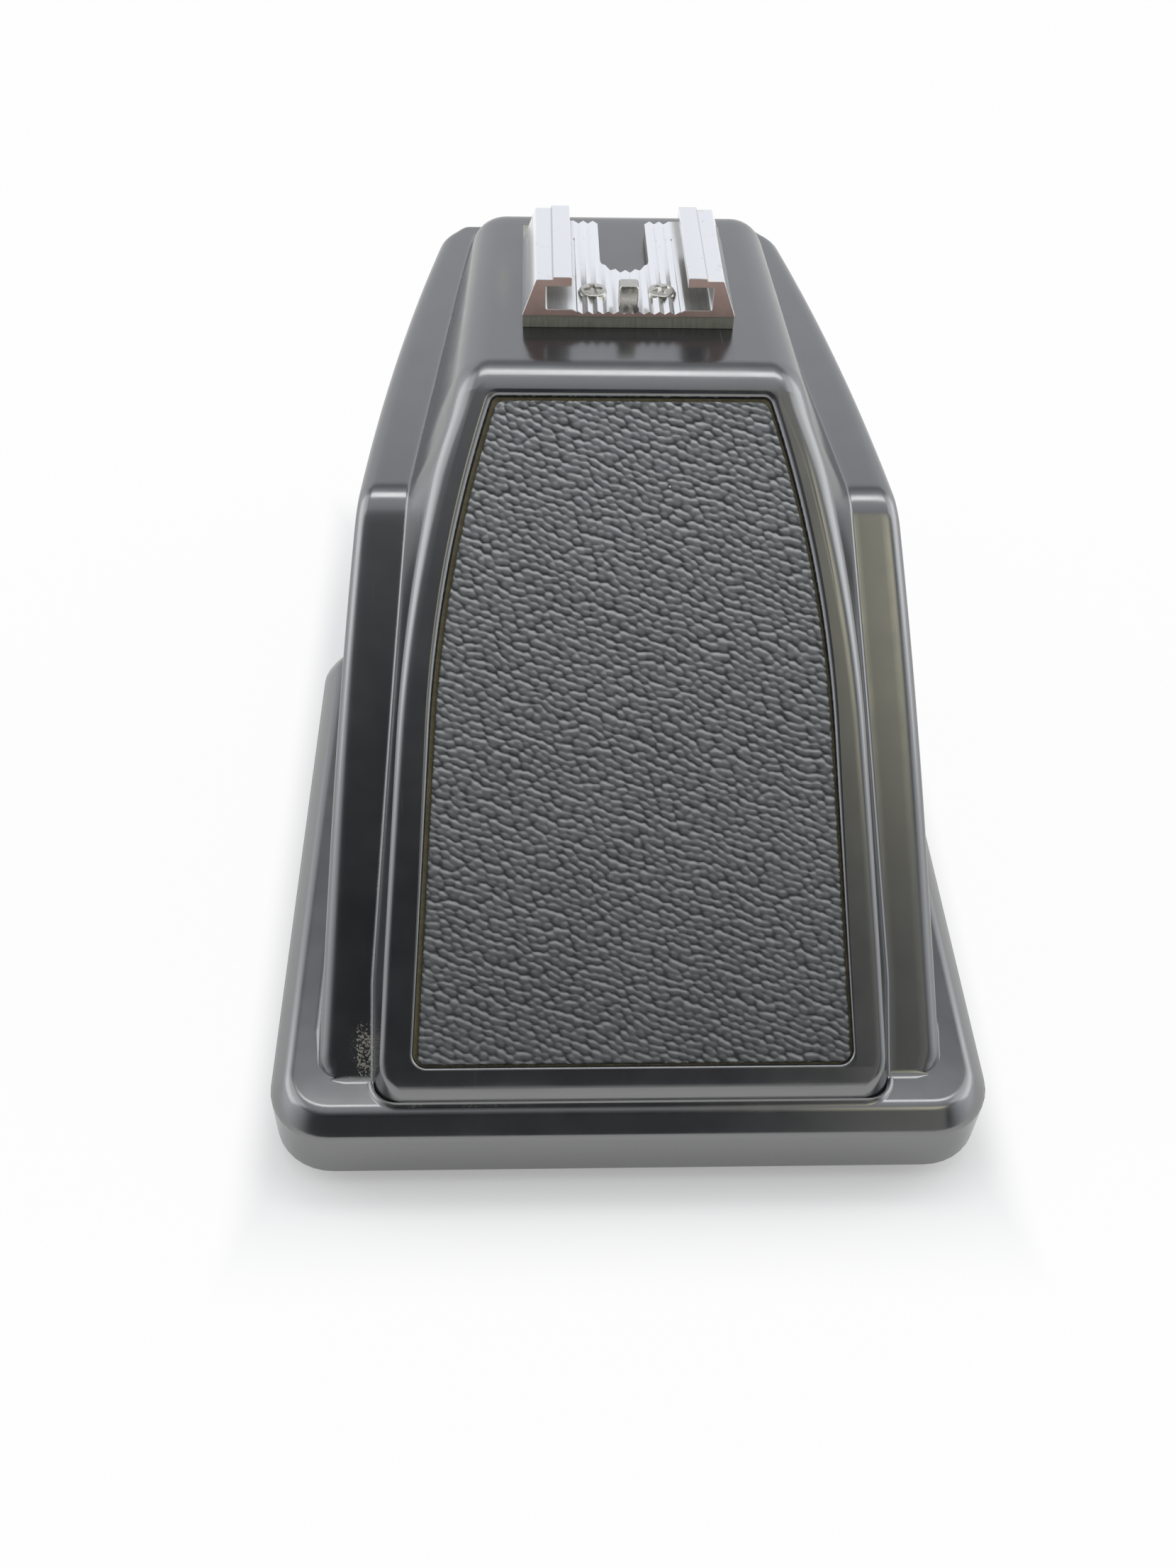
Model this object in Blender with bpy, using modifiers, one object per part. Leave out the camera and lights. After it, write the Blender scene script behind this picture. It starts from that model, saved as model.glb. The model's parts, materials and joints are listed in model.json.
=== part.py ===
"""Eye-level viewfinder for a medium-format camera, built as separate pieces.

Lengths are metres. The construction frame has the flange's front wall at y = 0 with +Y towards
the eyepiece, the table at z = 0 and the plane of symmetry at x = 0. One empty carries every piece
and centres the assembly over the origin.
"""

import math

import bmesh
import bpy
from mathutils import Matrix, Vector

MM = 0.001

# Fits
SEAT_GAP = 0.25 * MM
SLIDE_GAP = 0.3 * MM
BEDDING = 0.8 * MM

# Housing: flange
FLANGE_WIDTH = 80.0 * MM
FLANGE_DEPTH = 80.0 * MM
FLANGE_BOTTOM = 2.8 * MM
FLANGE_TOP = 12.0 * MM
FLANGE_CORNER_RADIUS = 7.0 * MM
FLANGE_EDGE_RADIUS = 3.0 * MM
HOUSING_WALL = 2.4 * MM

# Housing: shoulders
SLOPE_ANGLE = math.radians(42.0)
SHOULDER_FOOT = 6.1 * MM
SHOULDER_TOP = 55.1 * MM
SHOULDER_HALF_WIDTH = 34.6 * MM
SHOULDER_DRAFT = 0.08
SHOULDER_ARC_START = 25.0 * MM
SHOULDER_NARROWING = 9.0 * MM
SHOULDER_FRONT_CORNER = 5.0 * MM
SHOULDER_REAR_CORNER = 6.0 * MM
SHOULDER_EDGE_RADIUS = 2.0 * MM
KINK_RADIUS = 6.0 * MM
HOUSING_DEPTH = 117.5 * MM
TUNNEL_BOTTOM = 12.5 * MM
TUNNEL_SETBACK = 1.0 * MM

# Housing: raised spine with the panel on its slope
SPINE_FRONT = 2.8 * MM
SPINE_RISE = 4.06 * MM
SPINE_TOP = 66.75 * MM
SPINE_FLAT_END = 95.0 * MM
SPINE_BASE_HALF_WIDTH = 28.5 * MM
SPINE_TAPER_START = 14.0 * MM
SPINE_TAPER = 0.0945
SPINE_CREST_HALF_WIDTH = 18.3 * MM
SPINE_CREST_TAPER = 0.03
SPINE_CORNER_RADIUS = 3.0 * MM
SPINE_FRONT_EDGE_RADIUS = 1.5 * MM
SPINE_EDGE_RADIUS_LOW = 1.0 * MM
SPINE_EDGE_RADIUS_HIGH = 2.6 * MM
SPINE_SINK = 4.0 * MM
SPINE_TAIL_DROP = 0.4 * MM
SPINE_EDGE_SHARE = 0.8

# Leatherette panel
PANEL_FOOT = 4.75 * MM
PANEL_LENGTH = 72.6 * MM
PANEL_HALF_WIDTH = 23.9 * MM
PANEL_TAPER = 0.0534
PANEL_ARC_START = 36.0 * MM
PANEL_ARC_RADIUS = 135.0 * MM
PANEL_CORNER_RADIUS = 1.5 * MM
PANEL_RIM = 3.2 * MM
PANEL_GAP = 0.65 * MM
PANEL_RECESS = 1.2 * MM
PANEL_THICKNESS = 0.7 * MM

# Accessory shoe
SHOE_FRONT = 69.6 * MM
SHOE_RAIL_LENGTH = 17.0 * MM
SHOE_FLOOR_LENGTH = 21.4 * MM
SHOE_BASE_HALF_WIDTH = 11.6 * MM
SHOE_TOP_HALF_WIDTH = 10.4 * MM
SHOE_SLOT_WIDTH = 18.6 * MM
SHOE_LIP_GAP = 12.85 * MM
SHOE_LIP_THICKNESS = 1.1 * MM
SHOE_FLOOR_THICKNESS = 0.8 * MM
SHOE_SLOT_HEIGHT = 2.75 * MM
SHOE_CUT_WIDTH = 5.7 * MM
SHOE_CUT_FRONT = 79.0 * MM
SHIM_THICKNESS = 1.0 * MM
SHIM_MARGIN = 0.25 * MM
SHOE_SCREW_X = 3.9 * MM
SHOE_SCREW_Y = 74.4 * MM
SHOE_SCREW_HEAD_RADIUS = 1.55 * MM
SHOE_SCREW_RADIUS = 0.8 * MM
SHOE_SCREW_HEAD = 0.6 * MM
STOP_WIDTH = 2.2 * MM
STOP_FRONT = 70.7 * MM
STOP_LENGTH = 2.0 * MM
STOP_HEIGHT = 1.9 * MM
STOP_STEM_RADIUS = 0.7 * MM

# Base frame with its window
BASE_STEP = 9.0 * MM
BASE_FRONT = 6.0 * MM
BASE_REAR_SETBACK = 3.0 * MM
BASE_CORNER_RADIUS = 4.0 * MM
BASE_PLATE = 2.0 * MM
WINDOW_STEP = 14.0 * MM
WINDOW_FRONT = 9.0 * MM
WINDOW_REAR_SETBACK = 19.0 * MM
GLASS_MARGIN = 1.2 * MM
GLASS_THICKNESS = 1.2 * MM
TONGUE_X = 18.0 * MM
TONGUE_WIDTH = 8.0 * MM
TONGUE_REACH = 2.4 * MM
CATCH_BOTTOM = 0.7 * MM
CATCH_TOP = 2.3 * MM
BASE_SCREW_INSET = 5.4 * MM
BASE_SCREW_FRONT = 9.0 * MM
BASE_SCREW_REAR_SETBACK = 23.0 * MM
BASE_SCREW_RADIUS = 1.3 * MM
BASE_SCREW_HEAD_RADIUS = 2.4 * MM
BASE_SCREW_HEAD = 1.4 * MM
BASE_SCREW_REACH = 3.2 * MM
BASE_BOSS_RADIUS = 3.4 * MM

# Mirror under the slope
EYE_AXIS = 31.0 * MM
MIRROR_CENTRE = 35.0 * MM
MIRROR_ANGLE = math.radians(45.0)
MIRROR_LOW = -33.0 * MM
MIRROR_HIGH = 29.0 * MM
MIRROR_LOW_HALF_WIDTH = 25.0 * MM
MIRROR_HIGH_HALF_WIDTH = 15.0 * MM
MIRROR_THICKNESS = 2.5 * MM
MIRROR_PLATE = 1.25 * MM
MIRROR_PLATE_END = 4.2 * MM
MIRROR_PLATE_SIDE = 1.8 * MM
MIRROR_SCREW_INSET = 2.1 * MM
MIRROR_SCREW_LOW_X = 16.0 * MM
MIRROR_SCREW_HIGH_X = 8.0 * MM
MIRROR_SCREW_RADIUS = 0.9 * MM
MIRROR_SCREW_HEAD_RADIUS = 1.7 * MM
MIRROR_SCREW_HEAD = 1.0 * MM
MIRROR_SCREW_REACH = 1.4 * MM
MIRROR_BOSS_RADIUS = 2.4 * MM
CLIP_LENGTH = 20.0 * MM
CLIP_THICKNESS = 0.8 * MM
CLIP_HOLD = 1.5 * MM
CLIP_WALL = 1.3 * MM

# Erecting lens group in the tunnel
LENS_MOUNT_SETBACK = 34.5 * MM
LENS_MOUNT_THICKNESS = 2.0 * MM
LENS_MOUNT_TOP = 48.0 * MM
CELL_RADIUS = 11.0 * MM
CELL_FLANGE_RADIUS = 13.0 * MM
CELL_FLANGE = 1.6 * MM
CELL_BORE = 9.2 * MM
CELL_LIP = 7.8 * MM
CELL_LENGTH = 15.0 * MM
CELL_LIP_LENGTH = 1.2 * MM
ERECTOR_EDGE = 2.2 * MM
ERECTOR_BULGE = 1.0 * MM
NUT_LENGTH = 2.0 * MM

# Eyepiece
BARREL_RADIUS = 14.4 * MM
BARREL_BORE = 12.6 * MM
BARREL_LENGTH = 20.0 * MM
BARREL_LIP = 10.8 * MM
BARREL_LIP_LENGTH = 1.2 * MM
BARREL_FLANGE_RADIUS = 17.0 * MM
BARREL_FLANGE = 2.0 * MM
BARREL_NECK = 2.6 * MM
LOCK_RING_RADIUS = 15.8 * MM
LOCK_RING = 2.4 * MM
EYE_LENS_EDGE = 2.6 * MM
EYE_LENS_BULGE = 1.5 * MM
SPACER_LENGTH = 7.0 * MM
SPACER_WALL = 1.4 * MM
RETAINER_WALL = 2.2 * MM
EYECUP_RADIUS = 18.0 * MM
EYECUP_LENGTH = 7.4 * MM
EYECUP_WALL = 2.4 * MM
EYECUP_LIP_RADIUS = 1.1 * MM

# Release catch under the tunnel
BUTTON_WIDTH = 14.0 * MM
BUTTON_HEIGHT = 4.6 * MM
BUTTON_Z = 6.2 * MM
BUTTON_PROUD = 2.4 * MM
BUTTON_EDGE_RADIUS = 0.6 * MM
CATCH_TRAVEL = 2.0 * MM
SLIDE_HALF_WIDTH = 11.0 * MM
SLIDE_THICKNESS = 1.4 * MM
SLIDE_SETBACK = 11.0 * MM
SLIDE_TAB_HEIGHT = 3.2 * MM
SLIDE_TAB_THICKNESS = 1.2 * MM
CATCH_HALF_WIDTH = 4.0 * MM
CATCH_LEG = 2.0 * MM
CATCH_REACH = 1.8 * MM
GUIDE_WALL = 4.0 * MM
GUIDE_FRONT_SETBACK = 17.2 * MM
GUIDE_REAR_SETBACK = 5.0 * MM
GUIDE_RIB = 1.2 * MM
COVER_THICKNESS = 1.0 * MM
COVER_SCREW_SETBACK = 11.0 * MM
COVER_SCREW_RADIUS = 0.9 * MM
COVER_SCREW_HEAD_RADIUS = 1.7 * MM
COVER_SCREW_HEAD = 1.0 * MM
COVER_SCREW_REACH = 2.4 * MM
SPRING_X = 7.0 * MM
SPRING_RADIUS = 1.2 * MM
SPRING_WIRE = 0.2 * MM
SPRING_TURNS = 4

# Screw heads, as shares of the head's radius and height
SCREW_CROWN = 0.75
SCREW_CHEEK = 0.55

# Facets and tolerances of the mesh
ARC_STEPS = 4
CORNER_STEPS = 3
BEND_STEPS = 2
PANEL_SIDE_STEPS = 6
ROUND_STEPS = 24
SMALL_ROUND_STEPS = 12
SPRING_STEPS = 8
SPRING_WIRE_STEPS = 1
SMOOTH_ANGLE = math.radians(35.0)
HALF_ROUND = 0.92
WELD = 1e-7
TURN_WELD = 1e-6
OVERCUT = 3.0 * MM

# Values that follow from the sizes above
SLOPE = math.tan(SLOPE_ANGLE)
SLOPE_COS = math.cos(SLOPE_ANGLE)
SPINE_REAR = HOUSING_DEPTH - SHOULDER_EDGE_RADIUS
SPINE_FALL = (SPINE_TOP - SHOULDER_TOP + SPINE_TAIL_DROP) / (SPINE_REAR - SPINE_FLAT_END)
INNER_HALF_WIDTH = FLANGE_WIDTH / 2 - HOUSING_WALL
INNER_REAR = FLANGE_DEPTH - HOUSING_WALL
LEDGE_BOTTOM = FLANGE_TOP - HOUSING_WALL
BASE_PLATE_BOTTOM = FLANGE_BOTTOM + SEAT_GAP
BASE_PLATE_TOP = BASE_PLATE_BOTTOM + BASE_PLATE
BASE_HALF_WIDTH = FLANGE_WIDTH / 2 - BASE_STEP
BASE_REAR = FLANGE_DEPTH - BASE_REAR_SETBACK
BASE_SCREW_X = FLANGE_WIDTH / 2 - BASE_SCREW_INSET
BASE_SCREW_REAR = FLANGE_DEPTH - BASE_SCREW_REAR_SETBACK
WINDOW_HALF_WIDTH = FLANGE_WIDTH / 2 - WINDOW_STEP
WINDOW_REAR = FLANGE_DEPTH - WINDOW_REAR_SETBACK
SLIDE_FRONT = FLANGE_DEPTH - SLIDE_SETBACK
GUIDE_FRONT = FLANGE_DEPTH - GUIDE_FRONT_SETBACK
GUIDE_REAR = FLANGE_DEPTH - GUIDE_REAR_SETBACK
COVER_SCREW_Y = FLANGE_DEPTH - COVER_SCREW_SETBACK
SHIM_BOTTOM = SPINE_TOP + SEAT_GAP
SHOE_BOTTOM = SHIM_BOTTOM + SHIM_THICKNESS + SEAT_GAP
SHOE_FLOOR = SHOE_BOTTOM + SHOE_FLOOR_THICKNESS
REAR_WALL_INSIDE = HOUSING_DEPTH - HOUSING_WALL
LENS_MOUNT_FRONT = HOUSING_DEPTH - LENS_MOUNT_SETBACK
BARREL_SEAT = HOUSING_DEPTH + SEAT_GAP
EYECUP_FRONT = BARREL_SEAT + BARREL_FLANGE + SEAT_GAP
OVERALL_DEPTH = EYECUP_FRONT + EYECUP_LENGTH
SLIDE_BOTTOM = BASE_PLATE_TOP + SEAT_GAP
SLIDE_TOP = SLIDE_BOTTOM + SLIDE_THICKNESS
SLIDE_TAB_TOP = SLIDE_BOTTOM + SLIDE_TAB_HEIGHT
BUTTON_INNER = INNER_REAR - SEAT_GAP
SLIDE_REAR = BUTTON_INNER - SEAT_GAP
COVER_BOTTOM = SLIDE_TAB_TOP + SLIDE_GAP
GUIDE_TOP = COVER_BOTTOM - SEAT_GAP
GUIDE_INNER = SLIDE_HALF_WIDTH + SLIDE_GAP
GUIDE_OUTER = GUIDE_INNER + GUIDE_WALL
SHANK_GAP = SLIDE_GAP
MIRROR_PLATE_BACK = MIRROR_THICKNESS + SEAT_GAP + MIRROR_PLATE

Y_AXIS = Matrix.Rotation(-math.pi / 2, 4, "X")
ALONG_Y = Matrix.Rotation(math.pi / 2, 4, "X")
FLIPPED = Matrix.Rotation(math.pi, 4, "X")


def clear_scene():
    for item in list(bpy.data.objects):
        bpy.data.objects.remove(item, do_unlink=True)


def new_collection(name):
    collection = bpy.data.collections.new(name)
    bpy.context.scene.collection.children.link(collection)
    return collection


def new_material(name, colour, roughness, metallic, transmission=0.0):
    material = bpy.data.materials.new(name)
    material.use_nodes = True
    shader = material.node_tree.nodes["Principled BSDF"]
    shader.inputs["Base Color"].default_value = (*colour, 1.0)
    shader.inputs["Roughness"].default_value = roughness
    shader.inputs["Metallic"].default_value = metallic
    shader.inputs["Transmission Weight"].default_value = transmission
    return material


clear_scene()
PARTS = new_collection("eye_level_finder")
TOOLS = new_collection("forming_tools")
ASSEMBLY = bpy.data.objects.new("finder_origin", None)
ASSEMBLY.location = (0.0, -OVERALL_DEPTH / 2, 0.0)
PARTS.objects.link(ASSEMBLY)

ENAMEL = new_material("black_enamel", (0.012, 0.012, 0.013), 0.32, 0.0)
LEATHERETTE = new_material("black_leatherette", (0.02, 0.02, 0.021), 0.62, 0.0)
CHROME = new_material("satin_chrome", (0.82, 0.82, 0.83), 0.2, 1.0)
STEEL = new_material("steel", (0.6, 0.6, 0.6), 0.3, 1.0)
BLACKENED = new_material("blackened_metal", (0.02, 0.02, 0.02), 0.55, 0.3)
GLASS = new_material("glass", (0.95, 0.97, 0.97), 0.02, 0.0, 1.0)
SILVERED = new_material("silvered_glass", (0.9, 0.91, 0.92), 0.03, 1.0)
RUBBER = new_material("black_rubber", (0.015, 0.015, 0.015), 0.7, 0.0)


def add_object(name, mesh, matrix=None):
    """A mesh object under the assembly's empty."""
    item = bpy.data.objects.new(name, mesh)
    TOOLS.objects.link(item)
    item.parent = ASSEMBLY
    item.matrix_local = matrix or Matrix.Identity(4)
    return item


def as_part(item, material):
    """Move an object from the tools to the finished pieces and give it its finish."""
    TOOLS.objects.unlink(item)
    PARTS.objects.link(item)
    item.data.materials.clear()
    item.data.materials.append(material)
    item.data.shade_smooth()
    item.data.set_sharp_from_angle(angle=SMOOTH_ANGLE)
    return item


def as_tool(item):
    item.hide_render = True
    item.display_type = "WIRE"
    return item


def mesh_from(name, bm):
    bmesh.ops.recalc_face_normals(bm, faces=bm.faces)
    mesh = bpy.data.meshes.new(name)
    bm.to_mesh(mesh)
    bm.free()
    return mesh


def combine(item, tool, operation):
    """Join, cut or intersect an object with a tool through a live Boolean."""
    as_tool(tool)
    modifier = item.modifiers.new(operation.lower() + "_" + tool.name, "BOOLEAN")
    modifier.object = tool
    modifier.operation = operation
    modifier.solver = "EXACT"
    return item


def block(name, x_range, y_range, z_range):
    """A box from its limits along the three axes."""
    limits = (x_range, y_range, z_range)
    size = [high - low for low, high in limits]
    centre = Vector([(low + high) / 2 for low, high in limits])
    bm = bmesh.new()
    bmesh.ops.create_cube(bm, size=1.0, matrix=Matrix.Diagonal((*size, 1.0)))
    return add_object(name, mesh_from(name, bm), Matrix.Translation(centre))


def pillar(name, radius, start, end, matrix, steps=SMALL_ROUND_STEPS):
    """A cylinder along the local Z axis of a frame, from start to end."""
    bm = bmesh.new()
    middle = Matrix.Translation((0.0, 0.0, (start + end) / 2))
    bmesh.ops.create_cone(bm, cap_ends=True, segments=steps, radius1=radius, radius2=radius,
                          depth=end - start, matrix=middle)
    return add_object(name, mesh_from(name, bm), matrix)


def outline_solid(name, points, low, high, matrix):
    """A flat outline in a frame's local XY, given thickness from low to high along local Z."""
    curve = bpy.data.curves.new(name, "CURVE")
    curve.dimensions = "2D"
    curve.fill_mode = "BOTH"
    curve.extrude = (high - low) / 2
    spline = curve.splines.new("POLY")
    spline.points.add(len(points) - 1)
    spline.use_cyclic_u = True
    for target, (x, y) in zip(spline.points, points):
        target.co = (x, y, 0.0, 1.0)
    source = bpy.data.objects.new(name + "_outline", curve)
    TOOLS.objects.link(source)
    depsgraph = bpy.context.evaluated_depsgraph_get()
    mesh = bpy.data.meshes.new_from_object(source.evaluated_get(depsgraph))
    bpy.data.objects.remove(source, do_unlink=True)
    bm = bmesh.new()
    bm.from_mesh(mesh)
    bpy.data.meshes.remove(mesh)
    bmesh.ops.remove_doubles(bm, verts=bm.verts, dist=WELD)
    raised = matrix @ Matrix.Translation((0.0, 0.0, (low + high) / 2))
    return add_object(name, mesh_from(name, bm), raised)


def turned(name, profile, matrix, steps=ROUND_STEPS, ring=False):
    """A profile of (radius, height) points turned about the local Z axis of a frame.

    The profile runs down its outer side. A ring's profile closes on itself.
    """
    bm = bmesh.new()
    corners = [bm.verts.new((radius, 0.0, height)) for radius, height in profile]
    pairs = list(zip(corners, corners[1:]))
    if ring:
        pairs.append((corners[-1], corners[0]))
    for first, second in pairs:
        bm.edges.new((first, second))
    mesh = bpy.data.meshes.new(name)
    bm.to_mesh(mesh)
    bm.free()
    item = add_object(name, mesh, matrix)
    screw = item.modifiers.new("turn", "SCREW")
    screw.axis = "Z"
    screw.steps = steps
    screw.render_steps = steps
    screw.use_merge_vertices = True
    screw.merge_threshold = TURN_WELD
    return item


def loft(name, sections):
    """A closed solid through equal closed sections, capped at both ends."""
    bm = bmesh.new()
    rings = [[bm.verts.new(point) for point in section] for section in sections]
    count = len(rings[0])
    for low, high in zip(rings, rings[1:]):
        for i in range(count):
            j = (i + 1) % count
            bm.faces.new((low[i], low[j], high[j], high[i]))
    bm.faces.new(rings[0])
    bm.faces.new(rings[-1])
    return add_object(name, mesh_from(name, bm))


def fillet(before, corner, after, radius, steps=ARC_STEPS):
    """Points of the arc that rounds a corner between two straight runs."""
    corner = Vector(corner)
    back = (Vector(before) - corner).normalized()
    ahead = (Vector(after) - corner).normalized()
    half = back.angle(ahead) / 2
    centre = corner + (back + ahead).normalized() * (radius / math.sin(half))
    first = corner + back * (radius / math.tan(half)) - centre
    last = corner + ahead * (radius / math.tan(half)) - centre
    sweep = first.angle(last)
    points = []
    for i in range(steps + 1):
        share = i / steps
        along = first * math.sin((1 - share) * sweep) + last * math.sin(share * sweep)
        points.append(tuple(centre + along / math.sin(sweep)))
    return points


def rounded_rectangle(x_range, y_range, radius):
    (x0, x1), (y0, y1) = x_range, y_range
    corners = [(x1, y0), (x1, y1), (x0, y1), (x0, y0)]
    points = []
    for i, corner in enumerate(corners):
        points += fillet(corners[i - 1], corner, corners[(i + 1) % len(corners)], radius)
    return points


def stadium(width, height):
    """A slot outline with nearly half-round ends, centred on the origin."""
    return rounded_rectangle((-width / 2, width / 2), (-height / 2, height / 2),
                             height / 2 * HALF_ROUND)


def spread(start, end, count):
    return [start + (end - start) * i / count for i in range(count + 1)]


def rolled_edge(top, radius):
    """Heights and insets of an edge that rolls over inwards up to a top."""
    rings = []
    for share in spread(0.0, 1.0, ARC_STEPS):
        turn = math.pi / 2 * share
        rings.append((top - radius * (1 - math.sin(turn)), radius * (1 - math.cos(turn))))
    return rings


def quarter_drop(reach, radius):
    """Fall of a quarter circle at a distance reach short of its tangent point."""
    reach = min(max(reach, 0.0), radius)
    return radius - math.sqrt(radius * radius - reach * reach)


# Heights and widths of the housing's tiers, each with an inset for the hollow inside

def ramp_to_flat(y, ramp_start, flat, radius):
    """Height of the front slope where it turns through an arc into a level top."""
    corner = (flat - ramp_start) / SLOPE
    tangent = radius * math.tan(SLOPE_ANGLE / 2)
    centre = corner + tangent
    if y <= corner - tangent * SLOPE_COS:
        return ramp_start + SLOPE * y
    return flat - quarter_drop(centre - y, radius)


def shoulder_ramp_start(inset):
    return FLANGE_TOP - SLOPE * SHOULDER_FOOT - inset / SLOPE_COS


def spine_ramp_start(inset):
    return shoulder_ramp_start(inset) + SPINE_RISE / SLOPE_COS


def shoulder_height(y, inset=0.0):
    return ramp_to_flat(y, shoulder_ramp_start(inset), SHOULDER_TOP - inset, KINK_RADIUS - inset)


def shoulder_half_width(y, z, inset=0.0):
    """Drafted side wall whose plan runs straight and then follows a wide arc."""
    reach = max(0.0, y - SHOULDER_ARC_START) / (HOUSING_DEPTH - SHOULDER_ARC_START)
    bow = SHOULDER_NARROWING * reach ** 2
    return SHOULDER_HALF_WIDTH - bow - SHOULDER_DRAFT * (z - FLANGE_TOP) - inset


def shoulder_section(y, inset):
    front = SHOULDER_FOOT + inset + SHOULDER_FRONT_CORNER
    rear = HOUSING_DEPTH - inset - SHOULDER_REAR_CORNER
    rear_edge = HOUSING_DEPTH - inset - SHOULDER_EDGE_RADIUS
    bottom = LEDGE_BOTTOM - HOUSING_WALL
    top = shoulder_height(y, inset) - quarter_drop(y - rear_edge, SHOULDER_EDGE_RADIUS)
    corner_drop = quarter_drop(front - y, SHOULDER_FRONT_CORNER)
    corner_drop += quarter_drop(y - rear, SHOULDER_REAR_CORNER)
    foot = (shoulder_half_width(y, bottom, inset) - corner_drop, bottom)
    crest = (shoulder_half_width(y, top, inset) - corner_drop, top)
    return half_section(y, [foot], crest, SHOULDER_EDGE_RADIUS)


def half_section(y, wall, crest, radius):
    """Closed section across the body from one side's wall points and crest, the crest rounded."""
    points = wall + fillet(wall[-1], crest, (0.0, crest[1]), radius, CORNER_STEPS)
    right = [(x, y, z) for x, z in points]
    left = [(-x, y, z) for x, z in reversed(points)]
    return right + left


def shoulder_form(name, inset):
    """The broad lower tier: front slope, level top and the tunnel to the rear wall."""
    front = SHOULDER_FOOT / 2 + inset
    corner_end = SHOULDER_FOOT + SHOULDER_FRONT_CORNER + inset
    tangent = KINK_RADIUS * math.tan(SLOPE_ANGLE / 2)
    kink = (SHOULDER_TOP - shoulder_ramp_start(0.0)) / SLOPE
    rear_corner = HOUSING_DEPTH - inset - SHOULDER_REAR_CORNER
    rear_edge = HOUSING_DEPTH - inset - SHOULDER_EDGE_RADIUS
    rear = HOUSING_DEPTH - inset
    stations = [front]
    stations += spread(SHOULDER_FOOT + inset, corner_end, CORNER_STEPS)
    stations += spread(SHOULDER_ARC_START, kink - tangent, CORNER_STEPS)
    stations += spread(kink - tangent * SLOPE_COS, kink + tangent, CORNER_STEPS)[1:]
    stations += spread(kink + tangent, rear_corner, ARC_STEPS)[1:]
    stations += spread(rear_corner, rear_edge, BEND_STEPS)[1:]
    stations += spread(rear_edge, rear, BEND_STEPS)[1:]
    return loft(name, [shoulder_section(y, inset) for y in stations])


def panel_half_width(along):
    """Half-width of the panel at a distance up the slope: straight, then a drawn-in arc."""
    bow = max(0.0, along - PANEL_ARC_START) ** 2 / (2 * PANEL_ARC_RADIUS)
    return PANEL_HALF_WIDTH - PANEL_TAPER * along - bow


def spine_height(y, inset=0.0):
    front = ramp_to_flat(y, spine_ramp_start(inset), SPINE_TOP - inset, KINK_RADIUS - inset)
    rear = SPINE_TOP - SPINE_FALL * (y - SPINE_FLAT_END) - inset * math.hypot(1.0, SPINE_FALL)
    edge = quarter_drop(SPINE_FRONT + inset + SPINE_FRONT_EDGE_RADIUS - y, SPINE_FRONT_EDGE_RADIUS)
    return min(front, rear) - edge


def spine_section(y, inset):
    low = max(LEDGE_BOTTOM if inset else FLANGE_TOP, shoulder_height(y, inset))
    high = spine_height(y, inset)
    rim = panel_half_width(max(0.0, y - PANEL_FOOT) / SLOPE_COS) + PANEL_RIM
    level = SPINE_CREST_HALF_WIDTH - SPINE_CREST_TAPER * (y - PANEL_FOOT - PANEL_LENGTH * SLOPE_COS)
    crest = min(max(rim, level), SPINE_BASE_HALF_WIDTH) - inset
    base = SPINE_BASE_HALF_WIDTH - SPINE_TAPER * max(0.0, y - SPINE_TAPER_START) - inset
    corner_drop = quarter_drop(SPINE_FRONT + inset + SPINE_CORNER_RADIUS - y, SPINE_CORNER_RADIUS)
    knee = (base - corner_drop, min(low, high - SPINE_TAIL_DROP))
    foot = (knee[0], low - SPINE_SINK)
    share = min(1.0, max(0.0, (high - FLANGE_TOP) / (SPINE_TOP - FLANGE_TOP)))
    radius = SPINE_EDGE_RADIUS_LOW + share * (SPINE_EDGE_RADIUS_HIGH - SPINE_EDGE_RADIUS_LOW)
    room = math.hypot(base - crest, high - knee[1])
    crest_point = (crest - corner_drop, high)
    return half_section(y, [foot, knee], crest_point, min(radius, SPINE_EDGE_SHARE * room))


def spine_form(name, inset):
    """The raised middle tier that carries the panel, falling to the shoulders at the rear."""
    front = SPINE_FRONT + inset
    corner_end = front + SPINE_CORNER_RADIUS
    arc_start = PANEL_FOOT + PANEL_ARC_START * SLOPE_COS
    tangent = KINK_RADIUS * math.tan(SLOPE_ANGLE / 2)
    kink = (SPINE_TOP - spine_ramp_start(0.0)) / SLOPE
    stations = spread(front, front + SPINE_FRONT_EDGE_RADIUS, CORNER_STEPS)
    stations += spread(front + SPINE_FRONT_EDGE_RADIUS, corner_end, BEND_STEPS)[1:]
    stations += spread(SPINE_TAPER_START, arc_start, BEND_STEPS)
    stations += spread(arc_start, kink - tangent, ARC_STEPS)[1:]
    stations += spread(kink - tangent * SLOPE_COS, kink + tangent, CORNER_STEPS)[1:]
    stations += spread(SPINE_FLAT_END, SPINE_REAR - inset, BEND_STEPS)
    return loft(name, [spine_section(y, inset) for y in stations])


def flange_form():
    """The flange: a rounded plate whose top edge rolls over."""
    sections = []
    for height, inset in [(FLANGE_BOTTOM, 0.0)] + rolled_edge(FLANGE_TOP, FLANGE_EDGE_RADIUS):
        x_limit = FLANGE_WIDTH / 2 - inset
        outline = rounded_rectangle((-x_limit, x_limit), (inset, FLANGE_DEPTH - inset),
                                    FLANGE_CORNER_RADIUS - inset)
        sections.append([(x, y, height) for x, y in outline])
    return loft("upper_housing", sections)


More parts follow.
